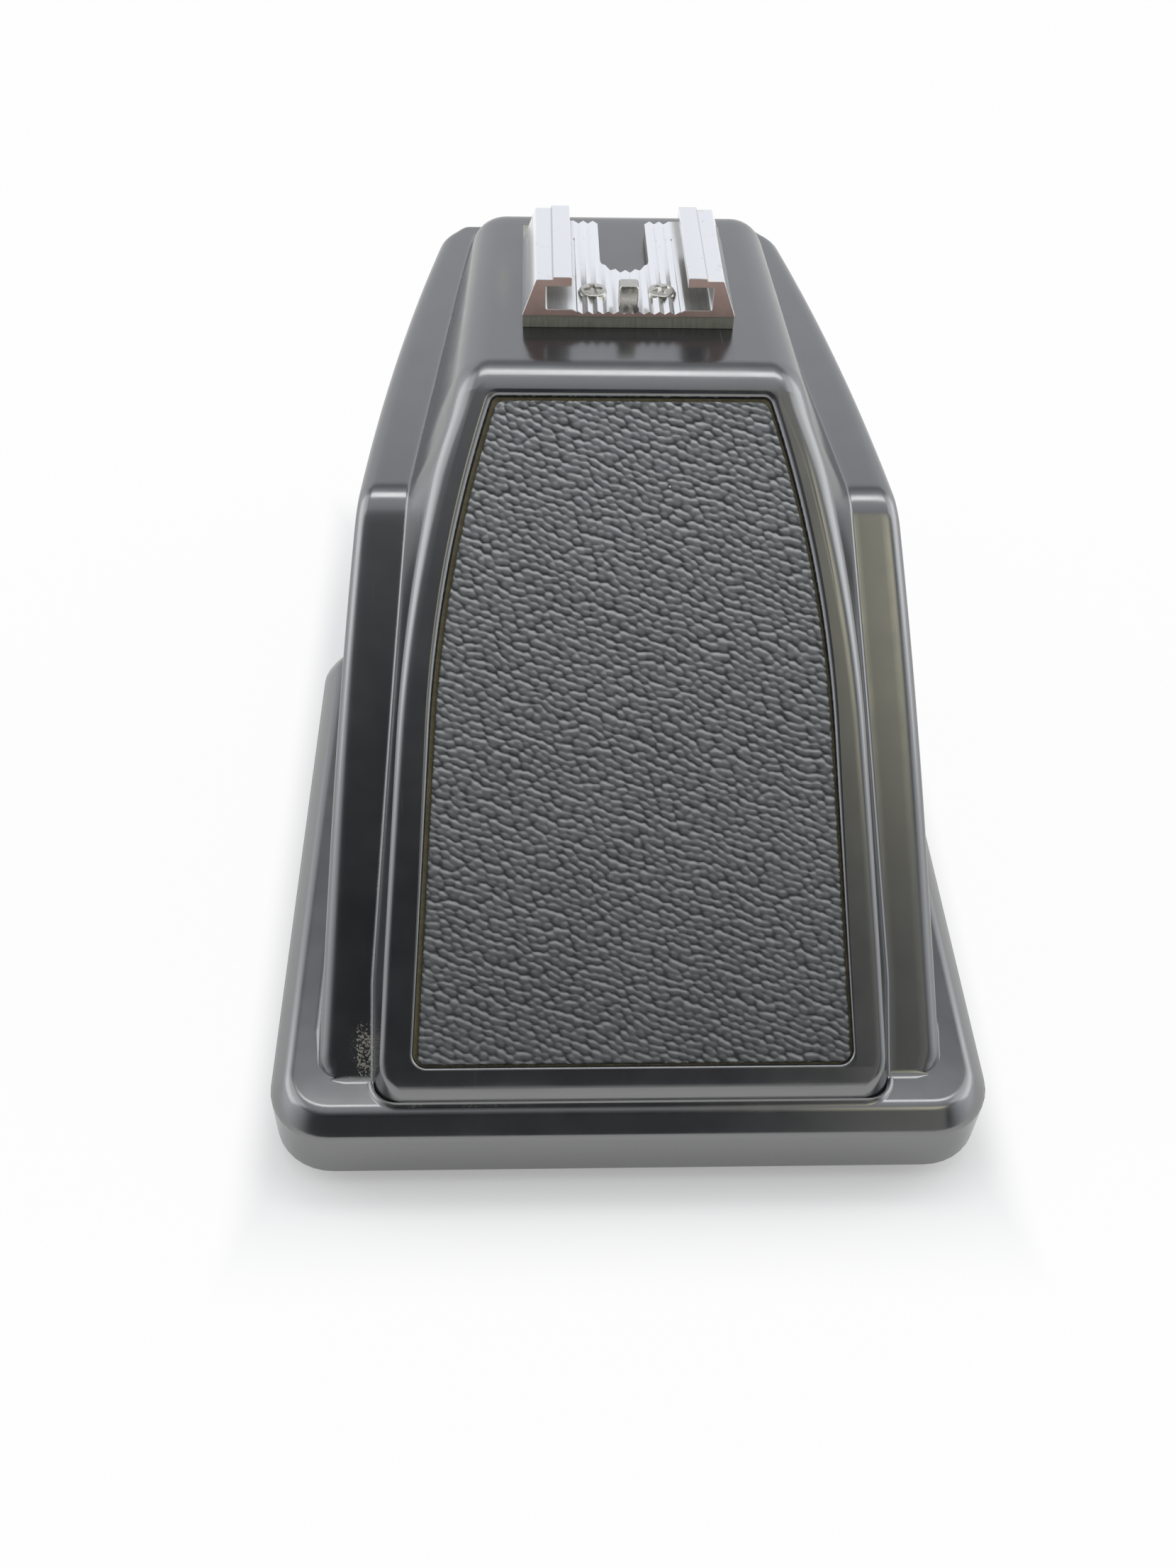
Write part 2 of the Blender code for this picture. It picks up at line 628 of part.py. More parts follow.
def under_tunnel(name, wall):
    """Room under the tunnel, behind the flange."""
    return block(name, (-FLANGE_WIDTH, FLANGE_WIDTH),
                 (FLANGE_DEPTH - TUNNEL_SETBACK - wall, HOUSING_DEPTH + OVERCUT),
                 (-OVERCUT, TUNNEL_BOTTOM + wall))


def slope_frame():
    """Frame on the spine's slope at the panel's foot: local Y up the slope, local Z outwards."""
    foot = (0.0, PANEL_FOOT, spine_ramp_start(0.0) + SLOPE * PANEL_FOOT)
    return Matrix.Translation(foot) @ Matrix.Rotation(SLOPE_ANGLE, 4, "X")


def panel_outline(margin):
    """Outline of the panel in the slope's frame, drawn in by a margin."""
    low = margin
    high = PANEL_LENGTH - margin
    side = [(panel_half_width(t) - margin, t) for t in spread(PANEL_ARC_START, high, PANEL_SIDE_STEPS)]
    bottom = (panel_half_width(low) - margin, low)
    right = fillet((0.0, low), bottom, side[0], PANEL_CORNER_RADIUS, CORNER_STEPS)
    right += side[:-1]
    right += fillet(side[-2], side[-1], (0.0, high), PANEL_CORNER_RADIUS / 2, BEND_STEPS)
    return right + [(-x, t) for x, t in reversed(right)]


def mirror_frame():
    """Frame on the optical axis: local Y up the mirror, local Z out of its back."""
    centre = Matrix.Translation((0.0, MIRROR_CENTRE, EYE_AXIS))
    return centre @ Matrix.Rotation(MIRROR_ANGLE, 4, "X")


def mirror_half_width(along):
    share = (along - MIRROR_LOW) / (MIRROR_HIGH - MIRROR_LOW)
    return MIRROR_LOW_HALF_WIDTH + share * (MIRROR_HIGH_HALF_WIDTH - MIRROR_LOW_HALF_WIDTH)


def mirror_screw_frames():
    """Frames at the four screws of the mirror plate, on the plate's back."""
    low = MIRROR_LOW - MIRROR_PLATE_END + MIRROR_SCREW_INSET
    high = MIRROR_HIGH + MIRROR_PLATE_END - MIRROR_SCREW_INSET
    places = [(-MIRROR_SCREW_LOW_X, low), (MIRROR_SCREW_LOW_X, low),
              (-MIRROR_SCREW_HIGH_X, high), (MIRROR_SCREW_HIGH_X, high)]
    return [mirror_frame() @ Matrix.Translation((x, y, MIRROR_PLATE_BACK)) for x, y in places]


def slope_distance(frame):
    """Distance from a frame along its local Z to the inside of the spine's slope."""
    start = frame.translation
    ahead = frame.to_3x3() @ Vector((0.0, 0.0, 1.0))
    gap = spine_ramp_start(HOUSING_WALL) + SLOPE * start.y - start.z
    return gap / (ahead.z - SLOPE * ahead.y)


def base_screw_places():
    return [(x, y) for y in (BASE_SCREW_FRONT, BASE_SCREW_REAR) for x in (-BASE_SCREW_X, BASE_SCREW_X)]


def at(x, y, z):
    return Matrix.Translation((x, y, z))


def screw_profile(head_radius, head, radius, reach):
    """Pan-head screw from the top of its head down to the end of its shank."""
    return [(0.0, head), (head_radius * SCREW_CROWN, head), (head_radius, head * SCREW_CHEEK),
            (head_radius, 0.0), (radius, 0.0), (radius, -reach), (0.0, -reach)]


def build_housing():
    housing = flange_form()
    shoulders = shoulder_form("shoulder_form", 0.0)
    combine(shoulders, under_tunnel("under_tunnel", 0.0), "DIFFERENCE")
    combine(housing, shoulders, "UNION")
    combine(housing, spine_form("spine_form", 0.0), "UNION")

    wall = HOUSING_WALL
    inside = rounded_rectangle((-INNER_HALF_WIDTH, INNER_HALF_WIDTH), (wall, INNER_REAR),
                               FLANGE_CORNER_RADIUS - wall)
    hollow = outline_solid("flange_hollow", inside, FLANGE_BOTTOM - OVERCUT, LEDGE_BOTTOM, at(0, 0, 0))
    combine(housing, hollow, "DIFFERENCE")
    tunnel = shoulder_form("shoulder_hollow", wall)
    combine(tunnel, under_tunnel("tunnel_floor", wall), "DIFFERENCE")
    combine(housing, tunnel, "DIFFERENCE")
    combine(housing, spine_form("spine_hollow", wall), "DIFFERENCE")

    recess = outline_solid("panel_recess", panel_outline(0.0), -PANEL_RECESS, OVERCUT, slope_frame())
    combine(housing, recess, "DIFFERENCE")
    eye_hole = pillar("eyepiece_hole", BARREL_RADIUS + SEAT_GAP, REAR_WALL_INSIDE - OVERCUT,
                      HOUSING_DEPTH + OVERCUT, at(0, 0, EYE_AXIS) @ Y_AXIS, ROUND_STEPS)
    combine(housing, eye_hole, "DIFFERENCE")
    button_hole = outline_solid("button_hole",
                                stadium(BUTTON_WIDTH + 2 * SLIDE_GAP, BUTTON_HEIGHT + 2 * SLIDE_GAP),
                                -HOUSING_WALL - OVERCUT, OVERCUT,
                                at(0, FLANGE_DEPTH, BUTTON_Z) @ Y_AXIS)
    combine(housing, button_hole, "DIFFERENCE")
    for side in (-1, 1):
        hole = pillar("shoe_screw_hole", SHOE_SCREW_RADIUS + SHANK_GAP, -HOUSING_WALL - OVERCUT, OVERCUT,
                      at(side * SHOE_SCREW_X, SHOE_SCREW_Y, SPINE_TOP))
        combine(housing, hole, "DIFFERENCE")

    boss_bottom = BASE_PLATE_TOP + SEAT_GAP
    for x, y in base_screw_places():
        boss = pillar("base_boss", BASE_BOSS_RADIUS, boss_bottom, LEDGE_BOTTOM + BEDDING, at(x, y, 0))
        combine(housing, boss, "UNION")
        hole = pillar("base_boss_hole", BASE_SCREW_RADIUS + SHANK_GAP, boss_bottom - BEDDING,
                      boss_bottom + BASE_SCREW_REACH + SHANK_GAP, at(x, y, 0))
        combine(housing, hole, "DIFFERENCE")
    for frame in mirror_screw_frames():
        boss = pillar("mirror_boss", MIRROR_BOSS_RADIUS, SEAT_GAP, slope_distance(frame) + BEDDING, frame)
        combine(housing, boss, "UNION")
        hole = pillar("mirror_boss_hole", MIRROR_SCREW_RADIUS + SHANK_GAP, -BEDDING,
                      SEAT_GAP + MIRROR_SCREW_REACH + SHANK_GAP, frame)
        combine(housing, hole, "DIFFERENCE")
    as_part(housing, ENAMEL)


def build_panel():
    low = SEAT_GAP - PANEL_RECESS
    panel = outline_solid("front_leatherette", panel_outline(PANEL_GAP), low, low + PANEL_THICKNESS,
                          slope_frame())
    as_part(panel, LEATHERETTE)


def shoe_section():
    """Section across the shoe: floor, leaning sides and two lips turned inwards."""
    slot = SHOE_SLOT_WIDTH / 2
    lip = SHOE_LIP_GAP / 2
    floor = SHOE_FLOOR_THICKNESS
    lip_bottom = floor + SHOE_SLOT_HEIGHT
    top = lip_bottom + SHOE_LIP_THICKNESS
    right = [(SHOE_BASE_HALF_WIDTH, 0.0), (SHOE_TOP_HALF_WIDTH, top), (lip, top), (lip, lip_bottom),
             (slot, lip_bottom), (slot, floor)]
    return right + [(-x, z) for x, z in reversed(right)]


def build_shoe():
    rear = SHOE_FRONT + SHOE_FLOOR_LENGTH
    rail = outline_solid("shoe_rail", shoe_section(), -SHOE_RAIL_LENGTH, 0.0,
                         at(0, SHOE_FRONT, SHOE_BOTTOM) @ ALONG_Y)
    slot = SHOE_SLOT_WIDTH / 2
    apron = block("shoe_apron", (-slot + BEDDING, slot - BEDDING),
                  (SHOE_FRONT + SHOE_RAIL_LENGTH - BEDDING, rear), (SHOE_BOTTOM, SHOE_FLOOR))
    combine(rail, apron, "UNION")
    cut_length = rear - SHOE_CUT_FRONT + OVERCUT
    cut = outline_solid("shoe_cut", stadium(cut_length, SHOE_CUT_WIDTH), -OVERCUT, OVERCUT,
                        at(0, SHOE_CUT_FRONT + cut_length / 2, SHOE_FLOOR)
                        @ Matrix.Rotation(math.pi / 2, 4, "Z"))
    cut_tail = block("shoe_cut_tail", (-SHOE_CUT_WIDTH / 2, SHOE_CUT_WIDTH / 2),
                     (rear - SHOE_CUT_WIDTH, rear + OVERCUT),
                     (SHOE_BOTTOM - OVERCUT / 2, SHOE_FLOOR + OVERCUT / 2))
    combine(rail, cut, "DIFFERENCE")
    combine(rail, cut_tail, "DIFFERENCE")

    shim_high = SHIM_BOTTOM + SHIM_THICKNESS
    shim_side = SHOE_BASE_HALF_WIDTH - SHIM_MARGIN
    shim = block("shoe_shim", (-shim_side, shim_side), (SHOE_FRONT + SHIM_MARGIN, rear - SHIM_MARGIN),
                 (SHIM_BOTTOM, shim_high))

    head_seat = SHOE_FLOOR + SEAT_GAP
    reach = head_seat - SPINE_TOP + HOUSING_WALL
    profile = screw_profile(SHOE_SCREW_HEAD_RADIUS, SHOE_SCREW_HEAD, SHOE_SCREW_RADIUS, reach)
    for side, word in ((-1, "left"), (1, "right")):
        x = side * SHOE_SCREW_X
        for piece in (rail, shim):
            hole = pillar(piece.name + "_hole", SHOE_SCREW_RADIUS + SHANK_GAP, -OVERCUT, OVERCUT,
                          at(x, SHOE_SCREW_Y, SHOE_BOTTOM))
            combine(piece, hole, "DIFFERENCE")
        screw = turned("shoe_screw_" + word, profile, at(x, SHOE_SCREW_Y, head_seat), SMALL_ROUND_STEPS)
        as_part(screw, STEEL)

    stop_middle = STOP_FRONT + STOP_LENGTH / 2
    stop = block("shoe_stop_pin", (-STOP_WIDTH / 2, STOP_WIDTH / 2), (STOP_FRONT, STOP_FRONT + STOP_LENGTH),
                 (SHOE_FLOOR + SEAT_GAP, SHOE_FLOOR + SEAT_GAP + STOP_HEIGHT))
    stem = pillar("stop_stem", STOP_STEM_RADIUS, SHOE_BOTTOM, SHOE_FLOOR + STOP_HEIGHT / 2,
                  at(0, stop_middle, 0))
    combine(stop, stem, "UNION")
    hole = pillar("stop_hole", STOP_STEM_RADIUS + SHANK_GAP, -OVERCUT, OVERCUT,
                  at(0, stop_middle, SHOE_BOTTOM))
    combine(rail, hole, "DIFFERENCE")
    as_part(rail, CHROME)
    as_part(shim, CHROME)
    as_part(stop, STEEL)


def build_base():
    half = BASE_HALF_WIDTH
    lower = rounded_rectangle((-half, half), (BASE_FRONT, BASE_REAR), BASE_CORNER_RADIUS)
    frame = outline_solid("base_frame", lower, 0.0, BASE_PLATE_BOTTOM + BASE_PLATE / 2, at(0, 0, 0))
    side = INNER_HALF_WIDTH - SEAT_GAP
    upper = rounded_rectangle((-side, side), (HOUSING_WALL + SEAT_GAP, INNER_REAR - SEAT_GAP),
                              FLANGE_CORNER_RADIUS - HOUSING_WALL - SEAT_GAP)
    plate = outline_solid("base_plate", upper, BASE_PLATE_BOTTOM, BASE_PLATE_TOP, at(0, 0, 0))
    combine(frame, plate, "UNION")
    for word, sign in (("left", -1), ("right", 1)):
        tongue = block("tongue_" + word,
                       (sign * TONGUE_X - TONGUE_WIDTH / 2, sign * TONGUE_X + TONGUE_WIDTH / 2),
                       (BASE_FRONT - TONGUE_REACH, BASE_FRONT + BEDDING), (CATCH_BOTTOM, CATCH_TOP))
        combine(frame, tongue, "UNION")
        inner, outer = sorted((sign * GUIDE_INNER, sign * GUIDE_OUTER))
        wall = block("latch_guide_" + word, (inner, outer), (GUIDE_FRONT, GUIDE_REAR),
                     (BASE_PLATE_TOP - BEDDING, GUIDE_TOP))
        combine(frame, wall, "UNION")
        hole = pillar("cover_post_hole", COVER_SCREW_RADIUS + SHANK_GAP,
                      GUIDE_TOP - COVER_SCREW_REACH, GUIDE_TOP + OVERCUT,
                      at(sign * (GUIDE_INNER + GUIDE_OUTER) / 2, COVER_SCREW_Y, 0))
        combine(frame, hole, "DIFFERENCE")
    rib_side = GUIDE_INNER + BEDDING
    rib = block("latch_guide_rib", (-rib_side, rib_side), (GUIDE_FRONT + SEAT_GAP, GUIDE_FRONT + GUIDE_RIB),
                (BASE_PLATE_TOP - BEDDING, GUIDE_TOP - SEAT_GAP))
    combine(frame, rib, "UNION")

    window_side = WINDOW_HALF_WIDTH
    window = block("base_window", (-window_side, window_side), (WINDOW_FRONT, WINDOW_REAR),
                   (-OVERCUT, BASE_PLATE_TOP + OVERCUT))
    combine(frame, window, "DIFFERENCE")
    pane_side = window_side + GLASS_MARGIN
    pane_bottom = BASE_PLATE_TOP - GLASS_THICKNESS
    rebate = block("glass_rebate", (-pane_side - SEAT_GAP, pane_side + SEAT_GAP),
                   (WINDOW_FRONT - GLASS_MARGIN - SEAT_GAP, WINDOW_REAR + GLASS_MARGIN + SEAT_GAP),
                   (pane_bottom - SEAT_GAP, BASE_PLATE_TOP + OVERCUT))
    combine(frame, rebate, "DIFFERENCE")
    glass = block("dust_glass", (-pane_side, pane_side),
                  (WINDOW_FRONT - GLASS_MARGIN, WINDOW_REAR + GLASS_MARGIN), (pane_bottom, BASE_PLATE_TOP))
    as_part(glass, GLASS)

    catch_side = CATCH_HALF_WIDTH + SLIDE_GAP
    slot_front = BASE_REAR - CATCH_LEG - CATCH_TRAVEL - 2 * SLIDE_GAP
    slot = block("catch_slot", (-catch_side, catch_side), (slot_front, FLANGE_DEPTH),
                 (-OVERCUT, BASE_PLATE_TOP + OVERCUT))
    combine(frame, slot, "DIFFERENCE")
    button_side = BUTTON_WIDTH / 2 + SLIDE_GAP
    notch = block("button_notch", (-button_side, button_side),
                  (BUTTON_INNER - CATCH_TRAVEL - SLIDE_GAP, FLANGE_DEPTH),
                  (BUTTON_Z - BUTTON_HEIGHT / 2 - SLIDE_GAP, BASE_PLATE_TOP + OVERCUT))
    combine(frame, notch, "DIFFERENCE")

    profile = screw_profile(BASE_SCREW_HEAD_RADIUS, BASE_SCREW_HEAD, BASE_SCREW_RADIUS,
                            BASE_PLATE + 2 * SEAT_GAP + BASE_SCREW_REACH)
    for number, (x, y) in enumerate(base_screw_places(), 1):
        hole = pillar("base_screw_hole", BASE_SCREW_RADIUS + SHANK_GAP, -OVERCUT, BASE_PLATE_TOP + OVERCUT,
                      at(x, y, 0))
        combine(frame, hole, "DIFFERENCE")
        screw = turned(f"base_screw_{number}", profile, at(x, y, BASE_PLATE_BOTTOM - SEAT_GAP) @ FLIPPED,
                       SMALL_ROUND_STEPS)
        as_part(screw, STEEL)
    as_part(frame, BLACKENED)


def trapezoid(low, high, margin):
    """Outline that follows the mirror's slanted sides between two places along it."""
    low_side = mirror_half_width(low) + margin
    high_side = mirror_half_width(high) + margin
    return [(-low_side, low), (low_side, low), (high_side, high), (-high_side, high)]


def build_mirror():
    frame = mirror_frame()
    mirror = outline_solid("front_mirror", trapezoid(MIRROR_LOW, MIRROR_HIGH, 0.0), 0.0, MIRROR_THICKNESS,
                           frame)
    as_part(mirror, SILVERED)
    plate_low = MIRROR_LOW - MIRROR_PLATE_END
    plate_high = MIRROR_HIGH + MIRROR_PLATE_END
    plate_front = MIRROR_THICKNESS + SEAT_GAP
    plate = outline_solid("mirror_plate", trapezoid(plate_low, plate_high, MIRROR_PLATE_SIDE), plate_front,
                          MIRROR_PLATE_BACK, frame)
    reach = 2 * SEAT_GAP + MIRROR_PLATE + MIRROR_SCREW_REACH
    profile = screw_profile(MIRROR_SCREW_HEAD_RADIUS, MIRROR_SCREW_HEAD, MIRROR_SCREW_RADIUS, reach)
    for number, place in enumerate(mirror_screw_frames(), 1):
        hole = pillar("mirror_plate_hole", MIRROR_SCREW_RADIUS + SHANK_GAP, -OVERCUT, OVERCUT, place)
        combine(plate, hole, "DIFFERENCE")
        seat = place @ at(0, 0, -MIRROR_PLATE - SEAT_GAP) @ FLIPPED
        as_part(turned(f"mirror_screw_{number}", profile, seat, SMALL_ROUND_STEPS), STEEL)
    as_part(plate, BLACKENED)

    low, high = -CLIP_LENGTH / 2, CLIP_LENGTH / 2
    for word, sign in (("left", -1), ("right", 1)):
        edges = [(mirror_half_width(low), low), (mirror_half_width(high), high)]
        wall = [(x + SEAT_GAP, y) for x, y in edges] + [(x + SEAT_GAP + CLIP_WALL, y) for x, y in edges[::-1]]
        hold = [(x - CLIP_HOLD, y) for x, y in edges] + [(x + CLIP_WALL, y) for x, y in edges[::-1]]
        wall = [(sign * x, y) for x, y in wall]
        hold = [(sign * x, y) for x, y in hold]
        clip = outline_solid("mirror_clip_" + word, wall, -SEAT_GAP - CLIP_THICKNESS / 2, MIRROR_THICKNESS,
                             frame)
        foot = outline_solid("clip_hold_" + word, hold, -SEAT_GAP - CLIP_THICKNESS, -SEAT_GAP, frame)
        combine(clip, foot, "UNION")
        as_part(clip, STEEL)


def lens_profile(radius, clear, edge, bulge):
    """Biconvex lens from its rear vertex over a flat seat and the rim to its front vertex."""
    curve = (clear * clear + bulge * bulge) / (2 * bulge)
    rear = []
    for share in spread(0.0, 1.0, ARC_STEPS):
        rear.append((share * clear, edge / 2 + bulge - quarter_drop(share * clear, curve)))
    rear.append((radius, edge / 2))
    front = [(x, -height) for x, height in reversed(rear)]
    return rear + front


def axis_at(y):
    """Frame on the optical axis with local Z towards the eye."""
    return at(0, y, EYE_AXIS) @ Y_AXIS


def build_erecting_lenses():
    rear = LENS_MOUNT_FRONT + LENS_MOUNT_THICKNESS
    low = TUNNEL_BOTTOM + HOUSING_WALL + SEAT_GAP
    margin = HOUSING_WALL + SEAT_GAP
    low_side = shoulder_half_width(rear, low, margin)
    high_side = shoulder_half_width(rear, LENS_MOUNT_TOP, margin)
    outline = [(-low_side, low), (low_side, low), (high_side, LENS_MOUNT_TOP), (-high_side, LENS_MOUNT_TOP)]
    mount = outline_solid("erecting_lens_mount", outline, -rear, -LENS_MOUNT_FRONT, ALONG_Y)
    hole = pillar("lens_mount_hole", CELL_RADIUS + SEAT_GAP, -OVERCUT, LENS_MOUNT_THICKNESS + OVERCUT,
                  axis_at(LENS_MOUNT_FRONT), ROUND_STEPS)
    combine(mount, hole, "DIFFERENCE")
    as_part(mount, BLACKENED)

    flange = -SEAT_GAP
    lip_end = flange - CELL_FLANGE + CELL_LIP_LENGTH
    end = flange - CELL_FLANGE + CELL_LENGTH
    cell = turned("erecting_lens_cell",
                  [(CELL_RADIUS, end), (CELL_RADIUS, flange), (CELL_FLANGE_RADIUS, flange),
                   (CELL_FLANGE_RADIUS, flange - CELL_FLANGE), (CELL_LIP, flange - CELL_FLANGE),
                   (CELL_LIP, lip_end), (CELL_BORE, lip_end), (CELL_BORE, end)],
                  axis_at(LENS_MOUNT_FRONT), ring=True)
    as_part(cell, BLACKENED)
    nut = turned("erecting_lens_nut",
                 [(CELL_FLANGE_RADIUS, NUT_LENGTH), (CELL_FLANGE_RADIUS, 0.0),
                  (CELL_RADIUS + SEAT_GAP, 0.0), (CELL_RADIUS + SEAT_GAP, NUT_LENGTH)],
                 axis_at(rear + SEAT_GAP), ring=True)
    as_part(nut, BLACKENED)
    profile = lens_profile(CELL_BORE - SEAT_GAP, CELL_LIP - SEAT_GAP, ERECTOR_EDGE, ERECTOR_BULGE)
    front_lens = LENS_MOUNT_FRONT + lip_end + SEAT_GAP + ERECTOR_EDGE / 2
    rear_lens = LENS_MOUNT_FRONT + end - ERECTOR_EDGE / 2 - ERECTOR_BULGE
    as_part(turned("erecting_lens_front", profile, axis_at(front_lens)), GLASS)
    as_part(turned("erecting_lens_rear", profile, axis_at(rear_lens)), GLASS)


def build_eyepiece():
    seat = BARREL_SEAT
    front = -BARREL_LENGTH
    end = BARREL_FLANGE + BARREL_NECK
    lip_end = front + BARREL_LIP_LENGTH
    barrel = turned("eyepiece_barrel",
                    [(BARREL_RADIUS, end), (BARREL_RADIUS, BARREL_FLANGE),
                     (BARREL_FLANGE_RADIUS, BARREL_FLANGE), (BARREL_FLANGE_RADIUS, 0.0),
                     (BARREL_RADIUS, 0.0), (BARREL_RADIUS, front), (BARREL_LIP, front),
                     (BARREL_LIP, lip_end), (BARREL_BORE, lip_end), (BARREL_BORE, end)],
                    axis_at(seat), ring=True)
    as_part(barrel, BLACKENED)
    ring_start = REAR_WALL_INSIDE - SEAT_GAP - LOCK_RING
    lock_ring = turned("eyepiece_lock_ring",
                       [(LOCK_RING_RADIUS, LOCK_RING), (LOCK_RING_RADIUS, 0.0),
                        (BARREL_RADIUS + SEAT_GAP, 0.0), (BARREL_RADIUS + SEAT_GAP, LOCK_RING)],
                       axis_at(ring_start), ring=True)
    as_part(lock_ring, BLACKENED)

    fit = BARREL_BORE - SEAT_GAP
    clear = min(BARREL_LIP, fit - max(SPACER_WALL, RETAINER_WALL)) - SEAT_GAP
    profile = lens_profile(fit, clear, EYE_LENS_EDGE, EYE_LENS_BULGE)
    front_lens = seat + lip_end + SEAT_GAP + EYE_LENS_EDGE / 2
    spacer_start = front_lens + EYE_LENS_EDGE / 2 + SEAT_GAP
    rear_lens = spacer_start + SPACER_LENGTH + SEAT_GAP + EYE_LENS_EDGE / 2
    retainer_start = rear_lens + EYE_LENS_EDGE / 2 + SEAT_GAP
    retainer_length = seat + end - retainer_start
    as_part(turned("eyepiece_front_lens", profile, axis_at(front_lens)), GLASS)
    as_part(turned("eyepiece_rear_lens", profile, axis_at(rear_lens)), GLASS)
    spacer = turned("eyepiece_spacer",
                    [(fit, SPACER_LENGTH), (fit, 0.0), (fit - SPACER_WALL, 0.0),
                     (fit - SPACER_WALL, SPACER_LENGTH)], axis_at(spacer_start), ring=True)
    as_part(spacer, BLACKENED)
    retainer = turned("eyepiece_retaining_ring",
                      [(fit, retainer_length), (fit, 0.0), (fit - RETAINER_WALL, 0.0),
                       (fit - RETAINER_WALL / 2, retainer_length)], axis_at(retainer_start), ring=True)
    as_part(retainer, BLACKENED)

    inner = BARREL_RADIUS + SEAT_GAP
    lip = EYECUP_LENGTH - EYECUP_LIP_RADIUS
    rim = []
    for share in spread(0.0, 1.0, ARC_STEPS):
        turn = math.pi * share
        rim.append((EYECUP_RADIUS - EYECUP_LIP_RADIUS * (1 + math.cos(turn)),
                    lip + EYECUP_LIP_RADIUS * math.sin(turn)))
    mouth = EYECUP_RADIUS - EYECUP_WALL
    cup = rim + [(EYECUP_RADIUS, 0.0), (inner, 0.0), (inner, BARREL_NECK), (mouth, BARREL_NECK + BEDDING)]
    as_part(turned("eyecup", cup, axis_at(EYECUP_FRONT), ring=True), RUBBER)


def build_catch():
    sections = []
    for y, inset in [(BUTTON_INNER, 0.0)] + rolled_edge(FLANGE_DEPTH + BUTTON_PROUD, BUTTON_EDGE_RADIUS):
        outline = stadium(BUTTON_WIDTH - 2 * inset, BUTTON_HEIGHT - 2 * inset)
        sections.append([(x, y, BUTTON_Z + z) for x, z in outline])
    as_part(loft("release_button", sections), CHROME)

    side = SLIDE_HALF_WIDTH
    slide = block("latch_slide", (-side, side), (SLIDE_FRONT, SLIDE_REAR), (SLIDE_BOTTOM, SLIDE_TOP))
    tab = block("slide_tab", (-side + SEAT_GAP, side - SEAT_GAP),
                (SLIDE_FRONT - SEAT_GAP, SLIDE_FRONT + SLIDE_TAB_THICKNESS),
                (SLIDE_BOTTOM + SEAT_GAP, SLIDE_TAB_TOP))
    leg_front = BASE_REAR - CATCH_LEG
    leg = block("slide_leg", (-CATCH_HALF_WIDTH, CATCH_HALF_WIDTH), (leg_front, BASE_REAR - SEAT_GAP),
                (CATCH_BOTTOM + SEAT_GAP, SLIDE_TOP - SEAT_GAP))
    tooth_side = CATCH_HALF_WIDTH - SEAT_GAP
    tooth = block("slide_tooth", (-tooth_side, tooth_side), (leg_front + SEAT_GAP, BASE_REAR + CATCH_REACH),
                  (CATCH_BOTTOM, CATCH_TOP))
    for piece in (tab, leg, tooth):
        combine(slide, piece, "UNION")
    as_part(slide, STEEL)

    cover_side = GUIDE_OUTER
    cover = block("latch_cover", (-cover_side, cover_side), (GUIDE_FRONT, GUIDE_REAR),
                  (COVER_BOTTOM, COVER_BOTTOM + COVER_THICKNESS))
    cover_top = COVER_BOTTOM + COVER_THICKNESS + SEAT_GAP
    reach = cover_top - GUIDE_TOP + COVER_SCREW_REACH - SLIDE_GAP
    profile = screw_profile(COVER_SCREW_HEAD_RADIUS, COVER_SCREW_HEAD, COVER_SCREW_RADIUS, reach)
    for word, sign in (("left", -1), ("right", 1)):
        place = at(sign * (GUIDE_INNER + GUIDE_OUTER) / 2, COVER_SCREW_Y, cover_top)
        hole = pillar("latch_cover_hole", COVER_SCREW_RADIUS + SHANK_GAP, -OVERCUT, OVERCUT, place)
        combine(cover, hole, "DIFFERENCE")
        as_part(turned("latch_cover_screw_" + word, profile, place, SMALL_ROUND_STEPS), STEEL)
        build_spring("latch_spring_" + word, sign * SPRING_X)
    as_part(cover, BLACKENED)


def build_spring(name, x):
    """Coil spring between the guide's rib and the slide's tab, one unbroken wire."""
    start = GUIDE_FRONT + GUIDE_RIB + SEAT_GAP + SPRING_WIRE
    end = SLIDE_FRONT - 2 * SEAT_GAP - SPRING_WIRE
    height = (SLIDE_BOTTOM + SLIDE_TAB_TOP) / 2
    points = []
    for share in spread(0.0, 1.0, SPRING_TURNS * SPRING_STEPS):
        turn = 2 * math.pi * SPRING_TURNS * share
        points.append((x + SPRING_RADIUS * math.cos(turn), start + share * (end - start),
                       height + SPRING_RADIUS * math.sin(turn)))
    curve = bpy.data.curves.new(name, "CURVE")
    curve.dimensions = "3D"
    curve.bevel_depth = SPRING_WIRE
    curve.bevel_resolution = SPRING_WIRE_STEPS
    curve.use_fill_caps = True
    spline = curve.splines.new("POLY")
    spline.points.add(len(points) - 1)
    for target, point in zip(spline.points, points):
        target.co = (*point, 1.0)
    spring = bpy.data.objects.new(name, curve)
    curve.materials.append(STEEL)
    PARTS.objects.link(spring)
    spring.parent = ASSEMBLY


build_housing()
build_panel()
build_shoe()
build_base()
build_mirror()
build_erecting_lenses()
build_eyepiece()
build_catch()
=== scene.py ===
"""Looks of the eye-level finder: shell, leatherette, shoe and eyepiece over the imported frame.

Shapes are worked out in millimetres in the maker's frame, where the flange's front wall is y = 0,
+Y runs towards the eyepiece and the table is z = 0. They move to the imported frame, in metres, when
a mesh is made.
"""

import functools
import json
import math

